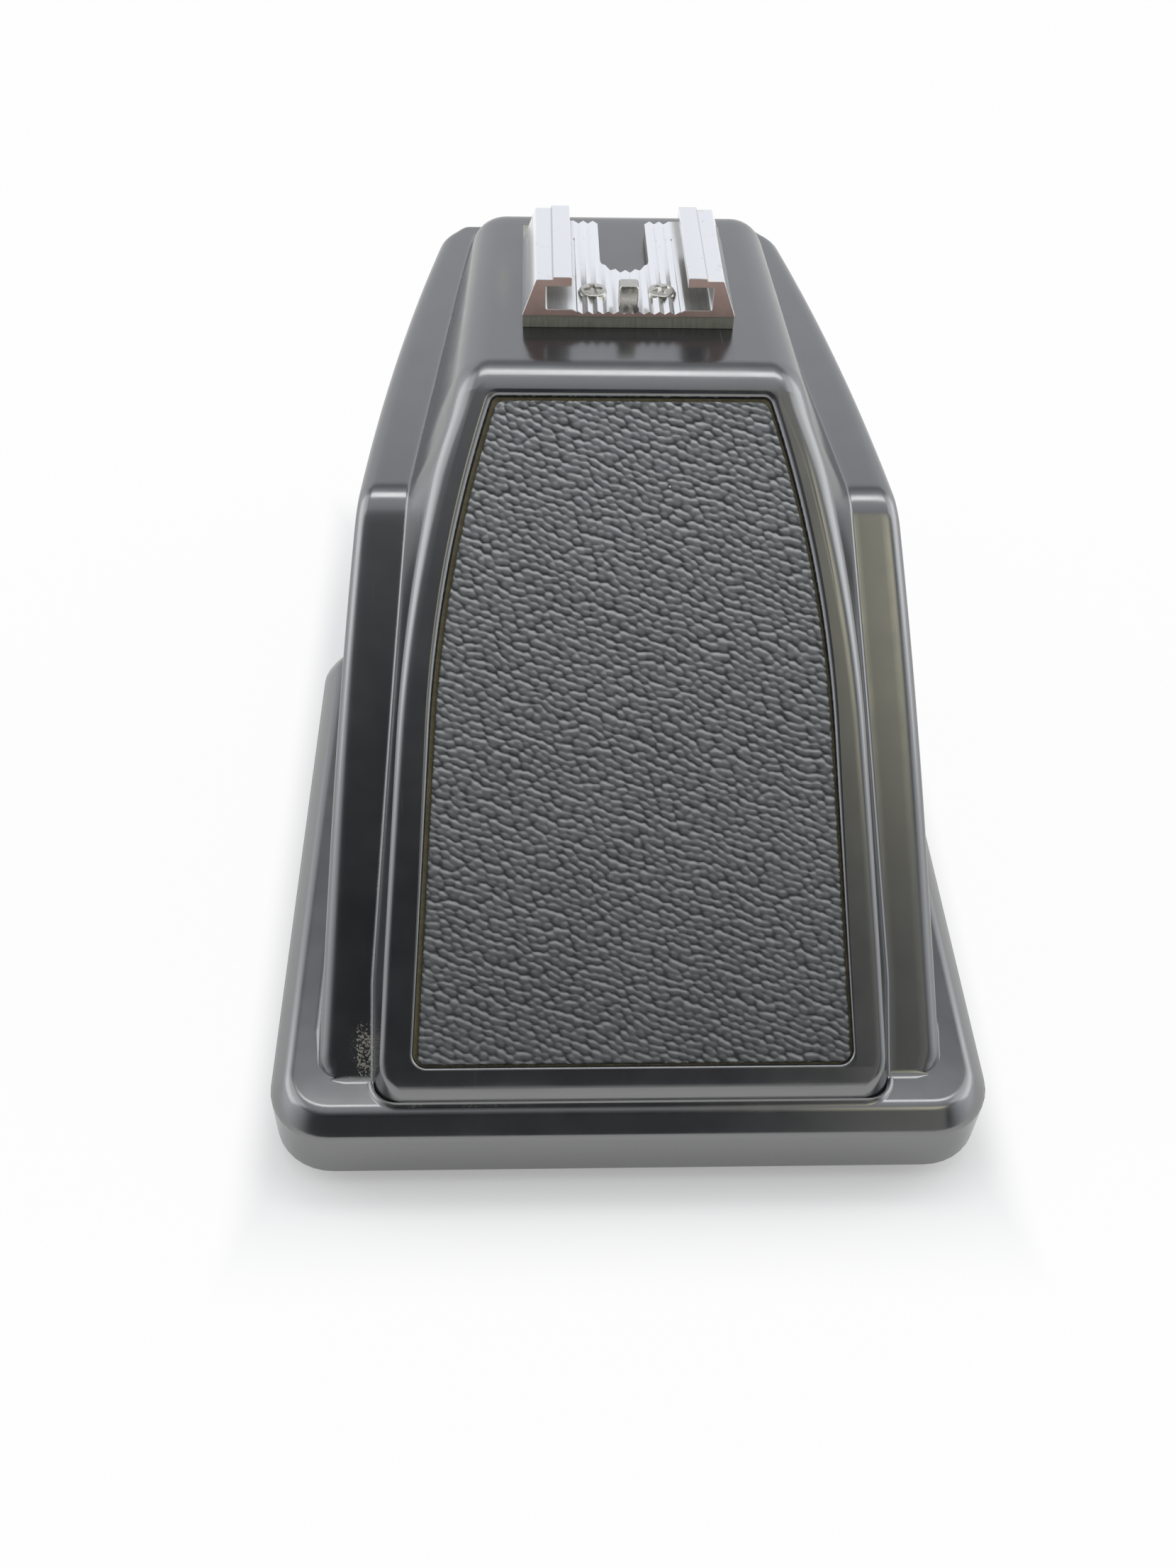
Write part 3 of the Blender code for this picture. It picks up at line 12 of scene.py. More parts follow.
import bmesh
import bpy
import numpy as np
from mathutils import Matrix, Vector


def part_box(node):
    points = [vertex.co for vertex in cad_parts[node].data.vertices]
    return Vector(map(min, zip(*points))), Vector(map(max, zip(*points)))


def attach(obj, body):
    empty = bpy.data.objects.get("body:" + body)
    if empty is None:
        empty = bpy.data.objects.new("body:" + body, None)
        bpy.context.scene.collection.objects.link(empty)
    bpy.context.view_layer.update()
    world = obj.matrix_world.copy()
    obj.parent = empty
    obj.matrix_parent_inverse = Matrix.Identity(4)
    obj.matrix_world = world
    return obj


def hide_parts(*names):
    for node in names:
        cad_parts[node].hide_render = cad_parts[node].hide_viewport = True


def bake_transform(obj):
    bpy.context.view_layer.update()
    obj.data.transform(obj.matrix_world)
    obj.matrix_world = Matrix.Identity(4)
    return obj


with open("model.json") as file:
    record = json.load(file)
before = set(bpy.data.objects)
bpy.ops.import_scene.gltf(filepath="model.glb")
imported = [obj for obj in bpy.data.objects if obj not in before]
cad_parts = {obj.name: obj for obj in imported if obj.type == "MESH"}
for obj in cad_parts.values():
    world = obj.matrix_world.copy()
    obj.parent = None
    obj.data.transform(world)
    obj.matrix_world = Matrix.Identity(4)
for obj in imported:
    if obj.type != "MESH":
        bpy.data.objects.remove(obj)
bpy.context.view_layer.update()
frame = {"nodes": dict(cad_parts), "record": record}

MM = 0.001
ORIGIN_SETBACK = 63.7
QUARTER = math.pi / 2
FULL_TURN = 2 * math.pi

# Flange, millimetres
FLANGE_HALF_WIDTH = 40.0
FLANGE_DEPTH = 80.0
FLANGE_BOTTOM = 2.8
FLANGE_TOP = 12.0
FLANGE_CORNER = 7.0
LEAST_CORNER = 0.3
FLANGE_ROLL = 2.0
FLANGE_ROLL_END = math.radians(45.0)
FLANGE_BEVEL = 11.3
FLANGE_CREASE = math.radians(32.0)
FLANGE_BEVEL_REACH = FLANGE_BEVEL * (math.cos(FLANGE_CREASE) - math.cos(FLANGE_ROLL_END))
FLANGE_BEVEL_DROP = FLANGE_BEVEL * (math.sin(FLANGE_ROLL_END) - math.sin(FLANGE_CREASE))
FLANGE_ROLL_REACH = FLANGE_BEVEL_REACH + FLANGE_ROLL * math.cos(FLANGE_ROLL_END)
FLANGE_ROLL_DROP = FLANGE_ROLL * (1 - math.sin(FLANGE_ROLL_END))
FLANGE_CREASE_DROP = FLANGE_ROLL_DROP + FLANGE_BEVEL_DROP
FLANGE_CREASE_SOFTNESS = 0.2
FLANGE_LOWER_EDGE = 0.3
LEDGE_REACH = 9.0
WALL = 2.4

# Shoulders
SLOPE_ANGLE = math.radians(42.0)
SLOPE = math.tan(SLOPE_ANGLE)
SLOPE_COS = math.cos(SLOPE_ANGLE)
SLOPE_SIN = math.sin(SLOPE_ANGLE)
SHOULDER_FOOT = 6.1
SHOULDER_TOP = 55.1
SHOULDER_HALF_WIDTH = 34.6
SHOULDER_DRAFT = 0.08
SHOULDER_ARC_START = 25.0
SHOULDER_NARROWING = 8.6
SHOULDER_FRONT_CORNER = 2.5
SHOULDER_REAR_CORNER = 4.5
SHOULDER_EDGE = 2.0
SHOULDER_REAR_EDGE = 1.1
KINK_RADIUS = 6.0
HOUSING_DEPTH = 117.5
TUNNEL_BOTTOM = 12.5
TUNNEL_FRONT = 79.0
TUNNEL_EDGE = 0.8
WALL_FOOT = 10.5

# Coves at the foot of the shoulders; the side cove's runs are start, end and count of stations
FOOT_SOFTNESS = 0.05
FOOT_DEPTH = 0.5
FOOT_COVE = 1.5
FOOT_COVE_START = 28.0
FOOT_COVE_END = 33.3
FOOT_COVE_FADE = 1.6
COVE_ARM = 3.0
COVE_LIFT = 0.005
SIDE_COVE = 1.0
SIDE_COVE_START = SHOULDER_FOOT + 1.5
SIDE_COVE_END = 77.5
SIDE_COVE_RISE = 5.0
SIDE_COVE_FALL = 3.0
SIDE_COVE_RUNS = ((SIDE_COVE_START, SHOULDER_FOOT + 8.0, 14), (16.0, 73.0, 30), (74.0, SIDE_COVE_END, 8))

# Spine
SPINE_FRONT = 2.8
SPINE_RISE = 4.06
SPINE_TOP = 66.75
SPINE_FLAT_END = 96.6
SPINE_REAR = HOUSING_DEPTH - SHOULDER_EDGE
SPINE_TAIL_DROP = 0.4
SPINE_FALL = (SPINE_TOP - SHOULDER_TOP + SPINE_TAIL_DROP) / (SPINE_REAR - SPINE_FLAT_END)
SPINE_FALL_SOFTNESS = 0.35
SPINE_BASE_HALF_WIDTH = 28.5
SPINE_TAPER_START = 14.0
SPINE_TAPER = 0.0945
SPINE_CREST_HALF_WIDTH = 18.3
SPINE_CREST_TAPER = 0.03
SPINE_CREST_SOFTNESS = 0.3
SPINE_CORNER = 3.0
SPINE_FRONT_EDGE = 1.5
SPINE_EDGE_LOW = 1.0
SPINE_EDGE_HIGH = 4.4
SPINE_EDGE_POWER = 3
SPINE_COVE = 0.6
SHOULDER_RAMP = FLANGE_TOP - SLOPE * SHOULDER_FOOT
SPINE_RAMP = SHOULDER_RAMP + SPINE_RISE / SLOPE_COS

# How much of the runs before and after a corner of a section its arc may take
FOOT_SHARES = (0.9, 0.2)
EDGE_SHARES = (0.75, 0.6)
COVE_SHARES = (0.3, 0.3)
CREST_SHARES = (0.65, 0.92)
CORNER_SHARES = (0.48, 0.48)

# Leatherette panel and its recess
PANEL_FOOT = 4.75
PANEL_LENGTH = 72.6
PANEL_HALF_WIDTH = 23.9
PANEL_TAPER = 0.0534
PANEL_ARC_START = 36.0
PANEL_ARC_RADIUS = 135.0
PANEL_LOW_CORNER = 1.5
PANEL_HIGH_CORNER = 0.75
PANEL_RIM = 3.45
PANEL_RECESS = 1.2
RECESS_WALL_FOOT = 0.2
RECESS_FLOOR_REACH = 0.7
RECESS_FLOOR_MARGIN = 0.6
LIP_LOW = 0.35
LIP_HIGH = 0.9
LIP_APRON = 1.2
LIP_OVERLAP = 0.05
LIP_SINK = 0.002
LEATHER_SIDE_GAP = 0.42
LEATHER_SHIFT = 0.12
LEATHER_LOW_GAP = 0.25
LEATHER_HIGH_GAP = 0.4
LEATHER_TOP = -0.12
LEATHER_BOTTOM = -0.95
LEATHER_CORNER = 0.8
LEATHER_BORDER = 0.25
LEATHER_BORDER_DROP = 0.5
LEATHER_STEP_ALONG = 0.157
LEATHER_STEP_ACROSS = 0.225
GLUE_REACH = (0.02, -0.15, -0.35, -0.55, -0.75)
GLUE_LEVEL = (-0.66, -0.74, -0.8, -0.84, -0.9)
GLUE_RIPPLE = 0.1
GLUE_RIPPLE_SIZE = 0.7
GLUE_SHIFT = 40

# Pressed grain
ROW_SPACING = 0.76
BUMP_LENGTH = 1.1
ROW_LEAN = math.radians(-22.0)
PEBBLE_DEPTH = 0.27
BUMP_SCATTER = 0.5
ROW_STAGGER = 0.5
BUMP_FIRMNESS = 8.0
BUMP_REACH = 0.42
HILL_SHARE = 0.5
TILT_SHARE = 0.42
TILT_GAIN = 1.1
WARP_REACH = 0.55
WARP_SIZE = 2.6
PORE_SIZE = 0.35
FLANK_GAIN = 0.75
SCATTER_FACTORS = (127.1, 311.7, 74.7)
SCATTER_GAIN = 43758.5453
WARP_X_SEED, WARP_Y_SEED, CENTRE_X_SEED, CENTRE_Y_SEED, PORE_SEED, GLUE_SEED = range(1, 7)

# Wear and dust, from 0 to 1, and where they lie, in millimetres
FOOT_WEAR = 0.9
FRONT_WEAR = 0.7
FRONT_WEAR_RISE = 1.2
FRONT_WEAR_INSET = 0.4
FRONT_WEAR_WIDTH = 0.6
EDGE_WEAR = 0.85
CREASE_WEAR = 0.95
RECESS_DUST = (0.3, 1.0, 1.0)

# Accessory shoe
SHOE_FRONT = 69.6
SHOE_RAIL_REAR = SHOE_FRONT + 17.0
SHOE_REAR = SHOE_FRONT + 21.4
SHOE_BOTTOM = 68.25
SHOE_BASE_HALF_WIDTH = 12.0
SHOE_TOP_HALF_WIDTH = 10.4
SHOE_SLOT_HALF_WIDTH = 9.3
SHOE_LIP_HALF_GAP = 6.425
SHOE_LIP_STEP_X = 8.55
SHOE_LIP_STEP = 0.3
SHOE_FLOOR = 0.8
SHOE_LIP_LOW = 3.55
SHOE_HEIGHT = 4.65
SHOE_ROUNDING = (0.15, 0.25, 0.05, 0.12, 0.15, 0.1, 0.15, 0.2, 0.1, 0.05, 0.0)
SHOE_END_BEVEL = 0.06
RIDGE_HALF_WIDTH = 5.75
RIDGE_PITCH = 1.15
RIDGE_HEIGHT = 0.36
RIDGE_SINK = 0.18
RIDGE_SHOULDER = 0.55
RIDGE_SHOULDER_DROP = 0.3
SHOE_APRON_HALF_WIDTH = 8.5
SHOE_CUT_HALF_WIDTH = 2.85
SHOE_CUT_FRONT = 79.0
SHIM_LOW = 66.8
SHIM_HIGH = 68.2
SHIM_SETBACK = 0.12
STOP_HALF_WIDTH = 1.1
STOP_FRONT = 70.7
STOP_REAR = 72.7
STOP_LOW = 68.4
STOP_TOP = 71.2
STOP_EDGE = 0.15
STOP_EDGE_DROP = 0.2

# Cross-head screws; the rim's rings are shares of the radius and drops
SCREW_X = 3.9
SCREW_Y = 74.4
SCREW_RADIUS = 1.55
SCREW_TOP = 69.05
SCREW_CROWN = 0.14
SCREW_CROWN_END = 0.92
SCREW_RIM = ((0.97, 0.03), (1.0, 0.1), (1.0, 0.75))
SCREW_LEANS = {-1.0: math.radians(8.0), 1.0: math.radians(32.0)}
SCREW_ARM = 0.24
SCREW_ARM_REACH = 0.92
SCREW_DIP = 0.42
SCREW_DIP_START = 1.15
SCREW_DIP_SLOPE = 0.3

# Eyepiece and catch; a turned section's corners are radius and distance from its seat
EYE_AXIS = 31.0
EYE_HOLE = 14.65
EYE_WALL_BORDER = 0.02
SOFT_EDGE = 0.2
EYECUP_SEAT = 120.0
EYECUP_SECTION = ((18.0, 0.0), (18.0, 7.4), (15.8, 7.4), (15.6, 3.4), (14.65, 2.6), (14.65, 0.0))
EYECUP_ROUNDING = (0.4, 1.1, 1.1, 0.5, 0.3, 0.2)
BARREL_SEAT = 117.75
BARREL_SECTION = ((17.0, 0.0), (17.0, 2.0), (14.4, 2.0), (14.4, 4.6), (12.6, 4.6), (12.6, -18.8),
                  (10.8, -18.8), (10.8, -20.0), (14.4, -20.0), (14.4, 0.0))
RETAINER_SEAT = 112.15
RETAINER_SECTION = ((12.35, 0.0), (12.35, 10.2), (11.25, 10.2), (10.15, 0.0))
EYE_LENS_SEAT = 110.6
EYE_LENS_RADIUS = 12.35
EYE_LENS_MARGIN = 1.0
EYE_LENS_EDGE = 2.6
EYE_LENS_BULGE = 1.5
BUTTON_HALF_WIDTH = 7.0
BUTTON_HALF_HEIGHT = 2.3
BUTTON_Z = 6.2
BUTTON_INNER = 77.35
BUTTON_OUTER = 82.4
BUTTON_EDGE = 0.6
BUTTON_GAP = 0.3
BUTTON_BAY = 10.0
SPRING_WIRE = 0.2
SPRING_TURNS = 4

# Mesh making: counts of steps, spacings in millimetres and the welding distance in metres
TINY = 1e-9
WELD = 2e-7
SMOOTH_ANGLE = math.radians(38.0)
ARC_STEPS = 9
RUN_STEPS = 5
LOOP_STEPS = 4
BEVEL_STEPS = 5
TURN_STEPS = 96
SLOT_STEPS = 72
TURN_STATIONS = 13
KINK_STATIONS = 11
FINE_STEP = 0.2
STATION_STEP = 1.3
FALL_STEP = 0.5
FALL_REACH = 4.0
STATION_GAP = 0.02
STATION_DIGITS = 4
COVE_STEPS = 12
PANEL_SIDE_STEPS = 60
PANEL_CORNER_STEPS = 10
PANEL_CORNER_REACH = 8
PANEL_CORNER_GAP = 0.1
APRON_ROWS = 2
RECESS_FLOOR_ROWS = 40
FLOOR_COLUMNS = 61
FLOOR_ROWS = 5
SHIM_ROWS = 4
SCREW_RINGS = 26
SCREW_STEPS = 120
BUTTON_STEPS = 7
LENS_STEPS = 24
SPRING_STEPS = 24
SPRING_WIRE_STEPS = 10
BAY_COLUMNS = 2
REAR_BAY = 3 * (ARC_STEPS + 1) + 2 * BAY_COLUMNS

# Camera, matched to the photograph's viewing angle
CAMERA_PLACE = (-0.0110, -0.1495, 0.1563)
CAMERA_TILT = math.radians(43.4)
CAMERA_YAW = math.radians(-0.17)
CAMERA_TURN = math.radians(-2.0)
CAMERA_LENS = 35.0
CAMERA_SENSOR = 36.0
CAMERA_NEAR = 0.01


# Meshes from grids

def sheet(points, around=False, flip=False, **traits):
    """Quads over a grid of points, row by row; around joins the last column to the first."""
    rows, columns = points.shape[:2]
    index = np.arange(rows * columns).reshape(rows, columns)
    if around:
        index = np.concatenate((index, index[:, :1]), axis=1)
    quads = np.stack((index[:-1, :-1], index[1:, :-1], index[1:, 1:], index[:-1, 1:]), axis=-1)
    quads = quads.reshape(-1, 4)
    if flip:
        quads = quads[:, ::-1]
    spread = {key: np.broadcast_to(value, (rows, columns)).ravel() for key, value in traits.items()}
    return points.reshape(-1, 3), quads, spread


def cap(loop, flip=False):
    """One flat face inside a closed loop of points."""
    index = np.arange(len(loop))[None, :]
    return loop, index[:, ::-1] if flip else index, {}


def both_sides(surfaces):
    """Surfaces and their images across x = 0, whose faces are turned to keep pointing outwards."""
    images = []
    for points, faces, traits in surfaces:
        images.append((points * np.array((-1.0, 1.0, 1.0)), faces[:, ::-1], traits))
    return surfaces + images


def piece(name, surfaces, material, nodes=(), body="finder_body", recalculate=False):
    """One welded mesh object from several surfaces, riding on a body, if one is given, and standing
    for CAD nodes."""
    counts = [len(surface[0]) for surface in surfaces]
    starts = np.concatenate(([0], np.cumsum(counts)[:-1]))
    points = np.concatenate([surface[0] for surface in surfaces])
    points = (points - np.array((0.0, ORIGIN_SETBACK, 0.0))) * MM
    faces = []
    for surface, start in zip(surfaces, starts):
        faces += (surface[1] + start).tolist()
    mesh = bpy.data.meshes.new(name)
    mesh.from_pydata(points.tolist(), [], faces)
    for trait in ("wear", "dust"):
        values = [surface[2].get(trait, np.zeros(count)) for surface, count in zip(surfaces, counts)]
        layer = mesh.attributes.new(trait, "FLOAT", "POINT")
        layer.data.foreach_set("value", np.concatenate(values).astype(np.float32))
    work = bmesh.new()
    work.from_mesh(mesh)
    bmesh.ops.remove_doubles(work, verts=work.verts, dist=WELD)
    bmesh.ops.dissolve_degenerate(work, edges=work.edges, dist=WELD)
    if recalculate:
        bmesh.ops.recalc_face_normals(work, faces=work.faces)
    work.to_mesh(mesh)
    work.free()
    mesh.materials.append(material)
    mesh.shade_smooth()
    mesh.set_sharp_from_angle(angle=SMOOTH_ANGLE)
    item = bpy.data.objects.new(name, mesh)
    bpy.context.scene.collection.objects.link(item)
    if body:
        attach(item, body)
    if nodes:
        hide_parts(*nodes)
    return item


def unit(vectors):
    """Vectors brought to a length of one."""
    return vectors / (np.linalg.norm(vectors, axis=-1, keepdims=True) + TINY)


def rounded_corner(before, corner, after, radius, steps, shares=CORNER_SHARES):
    """Arcs that round corners between two runs, for whole arrays of corners at once.

    An arc leaves each run where a circle of the radius touches it, but no further along the run
    than its share. It is a rational quadratic whose middle weight is the sine of half the corner's
    angle, which is a circle's arc.
    """
    back = unit(before - corner)
    ahead = unit(after - corner)
    back_room = shares[0] * np.linalg.norm(before - corner, axis=-1)
    ahead_room = shares[1] * np.linalg.norm(after - corner, axis=-1)
    half = np.arccos(np.clip(np.sum(back * ahead, axis=-1), -1.0, 1.0)) / 2
    reach = np.minimum(radius / np.tan(np.maximum(half, TINY)), np.minimum(back_room, ahead_room))
    first = (corner + back * reach[..., None])[..., None, :]
    last = (corner + ahead * reach[..., None])[..., None, :]
    share = np.linspace(0.0, 1.0, steps + 1)[:, None]
    middle = 2 * share * (1 - share) * np.sin(half)[..., None, None]
    total = (1 - share) ** 2 + middle + share ** 2
    return ((1 - share) ** 2 * first + middle * corner[..., None, :] + share ** 2 * last) / total


def rounded_loop(corners, radius):
    """A closed outline with every corner rounded by its own radius; a zero keeps the corner."""
    corners = np.asarray(corners, float)
    radius = np.broadcast_to(np.asarray(radius, float), len(corners))
    before = np.roll(corners, 1, axis=0)
    after = np.roll(corners, -1, axis=0)
    arcs = rounded_corner(before, corners, after, radius, LOOP_STEPS)
    keep = (radius[:, None] > 0) | (np.arange(LOOP_STEPS + 1) == 0)
    return arcs[keep]


def turned(profile, seat):
    """A profile of radius and distance turned about the eyepiece's axis, its distances from a seat."""
    turn = np.linspace(0.0, FULL_TURN, TURN_STEPS, endpoint=False)
    radius = profile[:, :1]
    depth = np.broadcast_to(seat + profile[:, 1:], (len(profile), TURN_STEPS))
    points = np.stack((radius * np.cos(turn), depth, EYE_AXIS + radius * np.sin(turn)), axis=-1)
    return [sheet(points, around=True)]


def turned_section(corners, seat, rounding=SOFT_EDGE):
    """A closed section with rounded corners, turned in the same way."""
    loop = rounded_loop(corners, rounding)
    return turned(np.concatenate((loop, loop[:1])), seat)


def slab(x, y, top, low):
    """A plate under a grid of heights: its top, its flat underside and the four edges between."""
    ground = np.stack((x, y, np.broadcast_to(low, x.shape)), axis=-1)
    cover = np.stack((x, y, np.broadcast_to(top, x.shape)), axis=-1)
    edges = [np.stack((ground[0], cover[0])), np.stack((cover[-1], ground[-1])),
             np.stack((cover[:, 0], ground[:, 0])), np.stack((ground[:, -1], cover[:, -1]))]
    return [sheet(cover), sheet(ground, flip=True)] + [sheet(edge) for edge in edges]


# Heights and widths of the housing

def smooth_step(share):
    """A share from 0 to 1, eased at both ends by a cubic."""
    return share * share * (3 - 2 * share)


def soft_max(first, second, softness):
    """The larger of two heights, blended where they cross by a logarithm of summed exponentials."""
    return softness * np.logaddexp(first / softness, second / softness)


def quarter_drop(reach, radius):
    """Fall of a quarter circle at a distance reach short of where it turns level."""
    reach = np.clip(reach, 0.0, radius)
    return radius - np.sqrt(radius ** 2 - reach ** 2)


def ramp_to_flat(y, ramp_start, flat, radius):
    """Height of the front slope where it turns through an arc into a level top."""
    corner = (flat - ramp_start) / SLOPE
    tangent = radius * math.tan(SLOPE_ANGLE / 2)
    arc = flat - quarter_drop(corner + tangent - y, radius)
    return np.where(y <= corner - tangent * SLOPE_COS, ramp_start + SLOPE * y, arc)


def ledge_height(y):
    """The flange's upper face, which rolls down towards the front wall."""
    return FLANGE_TOP - quarter_drop(FLANGE_ROLL_REACH - y, FLANGE_ROLL)


def shoulder_height(y, inset=0.0):
    """The shoulders' slope and top, with its foot a little below the ledge and its rear edge rounded."""
    ramp = SHOULDER_RAMP - inset / SLOPE_COS
    height = ramp_to_flat(y, ramp, SHOULDER_TOP - inset, KINK_RADIUS - inset)
    height = soft_max(ledge_height(y) - FOOT_DEPTH - inset, height, FOOT_SOFTNESS)
    return height - quarter_drop(y - (HOUSING_DEPTH - inset - SHOULDER_REAR_EDGE), SHOULDER_REAR_EDGE)


def shoulder_half_width(y, z, inset=0.0):
    """Drafted side wall whose plan runs straight and then draws in along a wide arc."""
    reach = np.maximum(0.0, y - SHOULDER_ARC_START) / (HOUSING_DEPTH - SHOULDER_ARC_START)
    draft = SHOULDER_DRAFT * (z - FLANGE_TOP)
    return SHOULDER_HALF_WIDTH - SHOULDER_NARROWING * reach ** 2 - draft - inset


def shoulder_corner_drop(y, inset=0.0):
    """How far the round corners of the shoulders' plan draw the wall in."""
    front = quarter_drop(SHOULDER_FOOT + inset + SHOULDER_FRONT_CORNER - y, SHOULDER_FRONT_CORNER)
    return front + quarter_drop(y - (HOUSING_DEPTH - inset - SHOULDER_REAR_CORNER), SHOULDER_REAR_CORNER)


def panel_half_width(along):
    """Half-width of the panel at a distance up the slope: straight, then a drawn-in arc."""
    arc = np.maximum(0.0, along - PANEL_ARC_START) ** 2 / (2 * PANEL_ARC_RADIUS)
    return PANEL_HALF_WIDTH - PANEL_TAPER * along - arc


def lip_radius(along):
    """Roll of the recess's lip: tight at the foot of the panel, fuller towards its head."""
    return LIP_LOW + (LIP_HIGH - LIP_LOW) * smooth_step(np.clip(along / PANEL_LENGTH, 0.0, 1.0))


def spine_height(y, inset=0.0):
    """The spine's slope, level top and fall to the rear, with its front edge rounded off."""
    front = ramp_to_flat(y, SPINE_RAMP - inset / SLOPE_COS, SPINE_TOP - inset, KINK_RADIUS - inset)
    rear = SPINE_TOP - SPINE_FALL * (y - SPINE_FLAT_END) - inset * math.hypot(1.0, SPINE_FALL)
    lower = -soft_max(-front, -rear, SPINE_FALL_SOFTNESS)
    return lower - quarter_drop(SPINE_FRONT + inset + SPINE_FRONT_EDGE - y, SPINE_FRONT_EDGE)


def spine_corner_drop(y, inset=0.0):
    """How far the round front corners of the spine's plan draw its walls in."""
    return quarter_drop(SPINE_FRONT + inset + SPINE_CORNER - y, SPINE_CORNER)


def spine_base_half_width(y):
    """Half-width of the spine where it meets the shoulders: level, then a straight taper."""
    return SPINE_BASE_HALF_WIDTH - SPINE_TAPER * np.maximum(0.0, y - SPINE_TAPER_START)


def spine_crest_half_width(y):
    """A rim's width outside the panel, easing into the level top's own taper."""
    rim = panel_half_width(np.maximum(0.0, y - PANEL_FOOT) / SLOPE_COS) + PANEL_RIM
    level = SPINE_CREST_HALF_WIDTH - SPINE_CREST_TAPER * (y - PANEL_FOOT - PANEL_LENGTH * SLOPE_COS)
    return np.minimum(soft_max(rim, level, SPINE_CREST_SOFTNESS), SPINE_BASE_HALF_WIDTH)


def at_depth(section, y):
    """Points from sections of x and z, each section at its own y."""
    depth = np.broadcast_to(np.reshape(y, (-1, 1)), section.shape[:2])
    return np.stack((section[..., 0], depth, section[..., 1]), axis=-1)


def half_sections(y, inner, inset=0.0, bottom=WALL_FOOT, floored=False):
    """One side of the housing as sections at stations y, from the wall's foot in to x = inner.

    A section runs up the side wall, over the rounded shoulder edge, through a small cove into the
    spine's wall and over its rounded crest. The spine keeps within the shoulder's edge where the rear
    corners draw that in. A floored section starts on the middle line below. Wear and dust swell as a
    half sine over the arcs.
    """
    top = shoulder_height(y, inset)
    high = np.maximum(spine_height(y, inset), top)
    drop = shoulder_corner_drop(y, inset)
    spine_drop = spine_corner_drop(y, inset)
    zero = np.zeros_like(y)
    low = zero + bottom
    edge = shoulder_half_width(y, top, inset) - drop
    base = np.minimum(spine_base_half_width(y) - inset - spine_drop, edge - SHOULDER_EDGE)
    crest = np.minimum(spine_crest_half_width(y) - inset - spine_drop, base)
    share = np.clip((high - FLANGE_TOP) / (SPINE_TOP - FLANGE_TOP), 0.0, 1.0)
    crest_radius = SPINE_EDGE_LOW + share ** SPINE_EDGE_POWER * (SPINE_EDGE_HIGH - SPINE_EDGE_LOW)
    foot = (shoulder_half_width(y, low, inset) - drop, low)
    rows = [(foot, None, None, ""),
            ((edge, top), zero + SHOULDER_EDGE, EDGE_SHARES, "wear"),
            ((base, top), zero + SPINE_COVE, COVE_SHARES, "dust"),
            ((crest, high), crest_radius, CREST_SHARES, "wear"),
            ((zero + inner, high), None, None, "")]
    if floored:
        rows[0] = (foot, zero + TUNNEL_EDGE, FOOT_SHARES, "wear")
        rows.insert(0, ((zero, low), None, None, ""))
    corners = [np.stack(row[0], axis=-1) for row in rows]
    step = np.linspace(0.0, 1.0, RUN_STEPS + 2)[1:-1, None]
    runs = []
    traits = {"wear": [], "dust": []}
    for i, row in enumerate(rows):
        radius, shares, kind = row[1:]
        arc = corners[i][:, None, :]
        if radius is not None:
            arc = rounded_corner(corners[i - 1], corners[i], corners[i + 1], radius, ARC_STEPS, shares)
        swell = np.sin(np.linspace(0.0, math.pi, arc.shape[1]))
        if runs:
            runs.append(runs[-1][:, -1:, :] * (1 - step) + arc[:, :1, :] * step)
            swell = np.concatenate((np.zeros(RUN_STEPS), swell))
        runs.append(arc)
        traits["wear"].append(EDGE_WEAR * swell * (kind == "wear"))
        traits["dust"].append(swell * (kind == "dust"))
    points = at_depth(np.concatenate(runs, axis=1), y)
    return points, {trait: np.concatenate(values) for trait, values in traits.items()}


# Housing shell

def shell_stations():
    """Stations along y, close together where the plan or the height turns."""
    turn = np.linspace(0.0, QUARTER, TURN_STATIONS)
    into = 1 - np.cos(turn)
    out_of = 1 - np.sin(turn)
    fall_start = SPINE_FLAT_END - FALL_REACH
    fall_end = SPINE_FLAT_END + FALL_REACH
    runs = [SPINE_FRONT + SPINE_FRONT_EDGE * into, SPINE_FRONT + SPINE_CORNER * into,
            np.arange(SPINE_FRONT + SPINE_CORNER, SHOULDER_FOOT + SHOULDER_EDGE, FINE_STEP),
            SHOULDER_FOOT + SHOULDER_FRONT_CORNER * into,
            np.arange(SHOULDER_FOOT + SHOULDER_FRONT_CORNER, SPINE_FLAT_END, STATION_STEP),
            np.arange(fall_start, fall_end, FALL_STEP),
            np.arange(fall_end, HOUSING_DEPTH - SHOULDER_REAR_CORNER, STATION_STEP),
            HOUSING_DEPTH - SHOULDER_REAR_CORNER * out_of, HOUSING_DEPTH - SHOULDER_REAR_EDGE * out_of]
    tangent = KINK_RADIUS * math.tan(SLOPE_ANGLE / 2)
    for flat, ramp in ((SHOULDER_TOP, SHOULDER_RAMP), (SPINE_TOP, SPINE_RAMP)):
        kink = (flat - ramp) / SLOPE
        runs.append(np.linspace(kink - tangent * SLOPE_COS, kink + tangent, KINK_STATIONS))
    return np.unique(np.round(np.concatenate(runs), STATION_DIGITS))


def between(stations, start, end):
    """The stations inside a range, with both of its ends."""
    inside = stations[(stations > start + STATION_GAP) & (stations < end - STATION_GAP)]
    return np.concatenate(([start], inside, [end]))


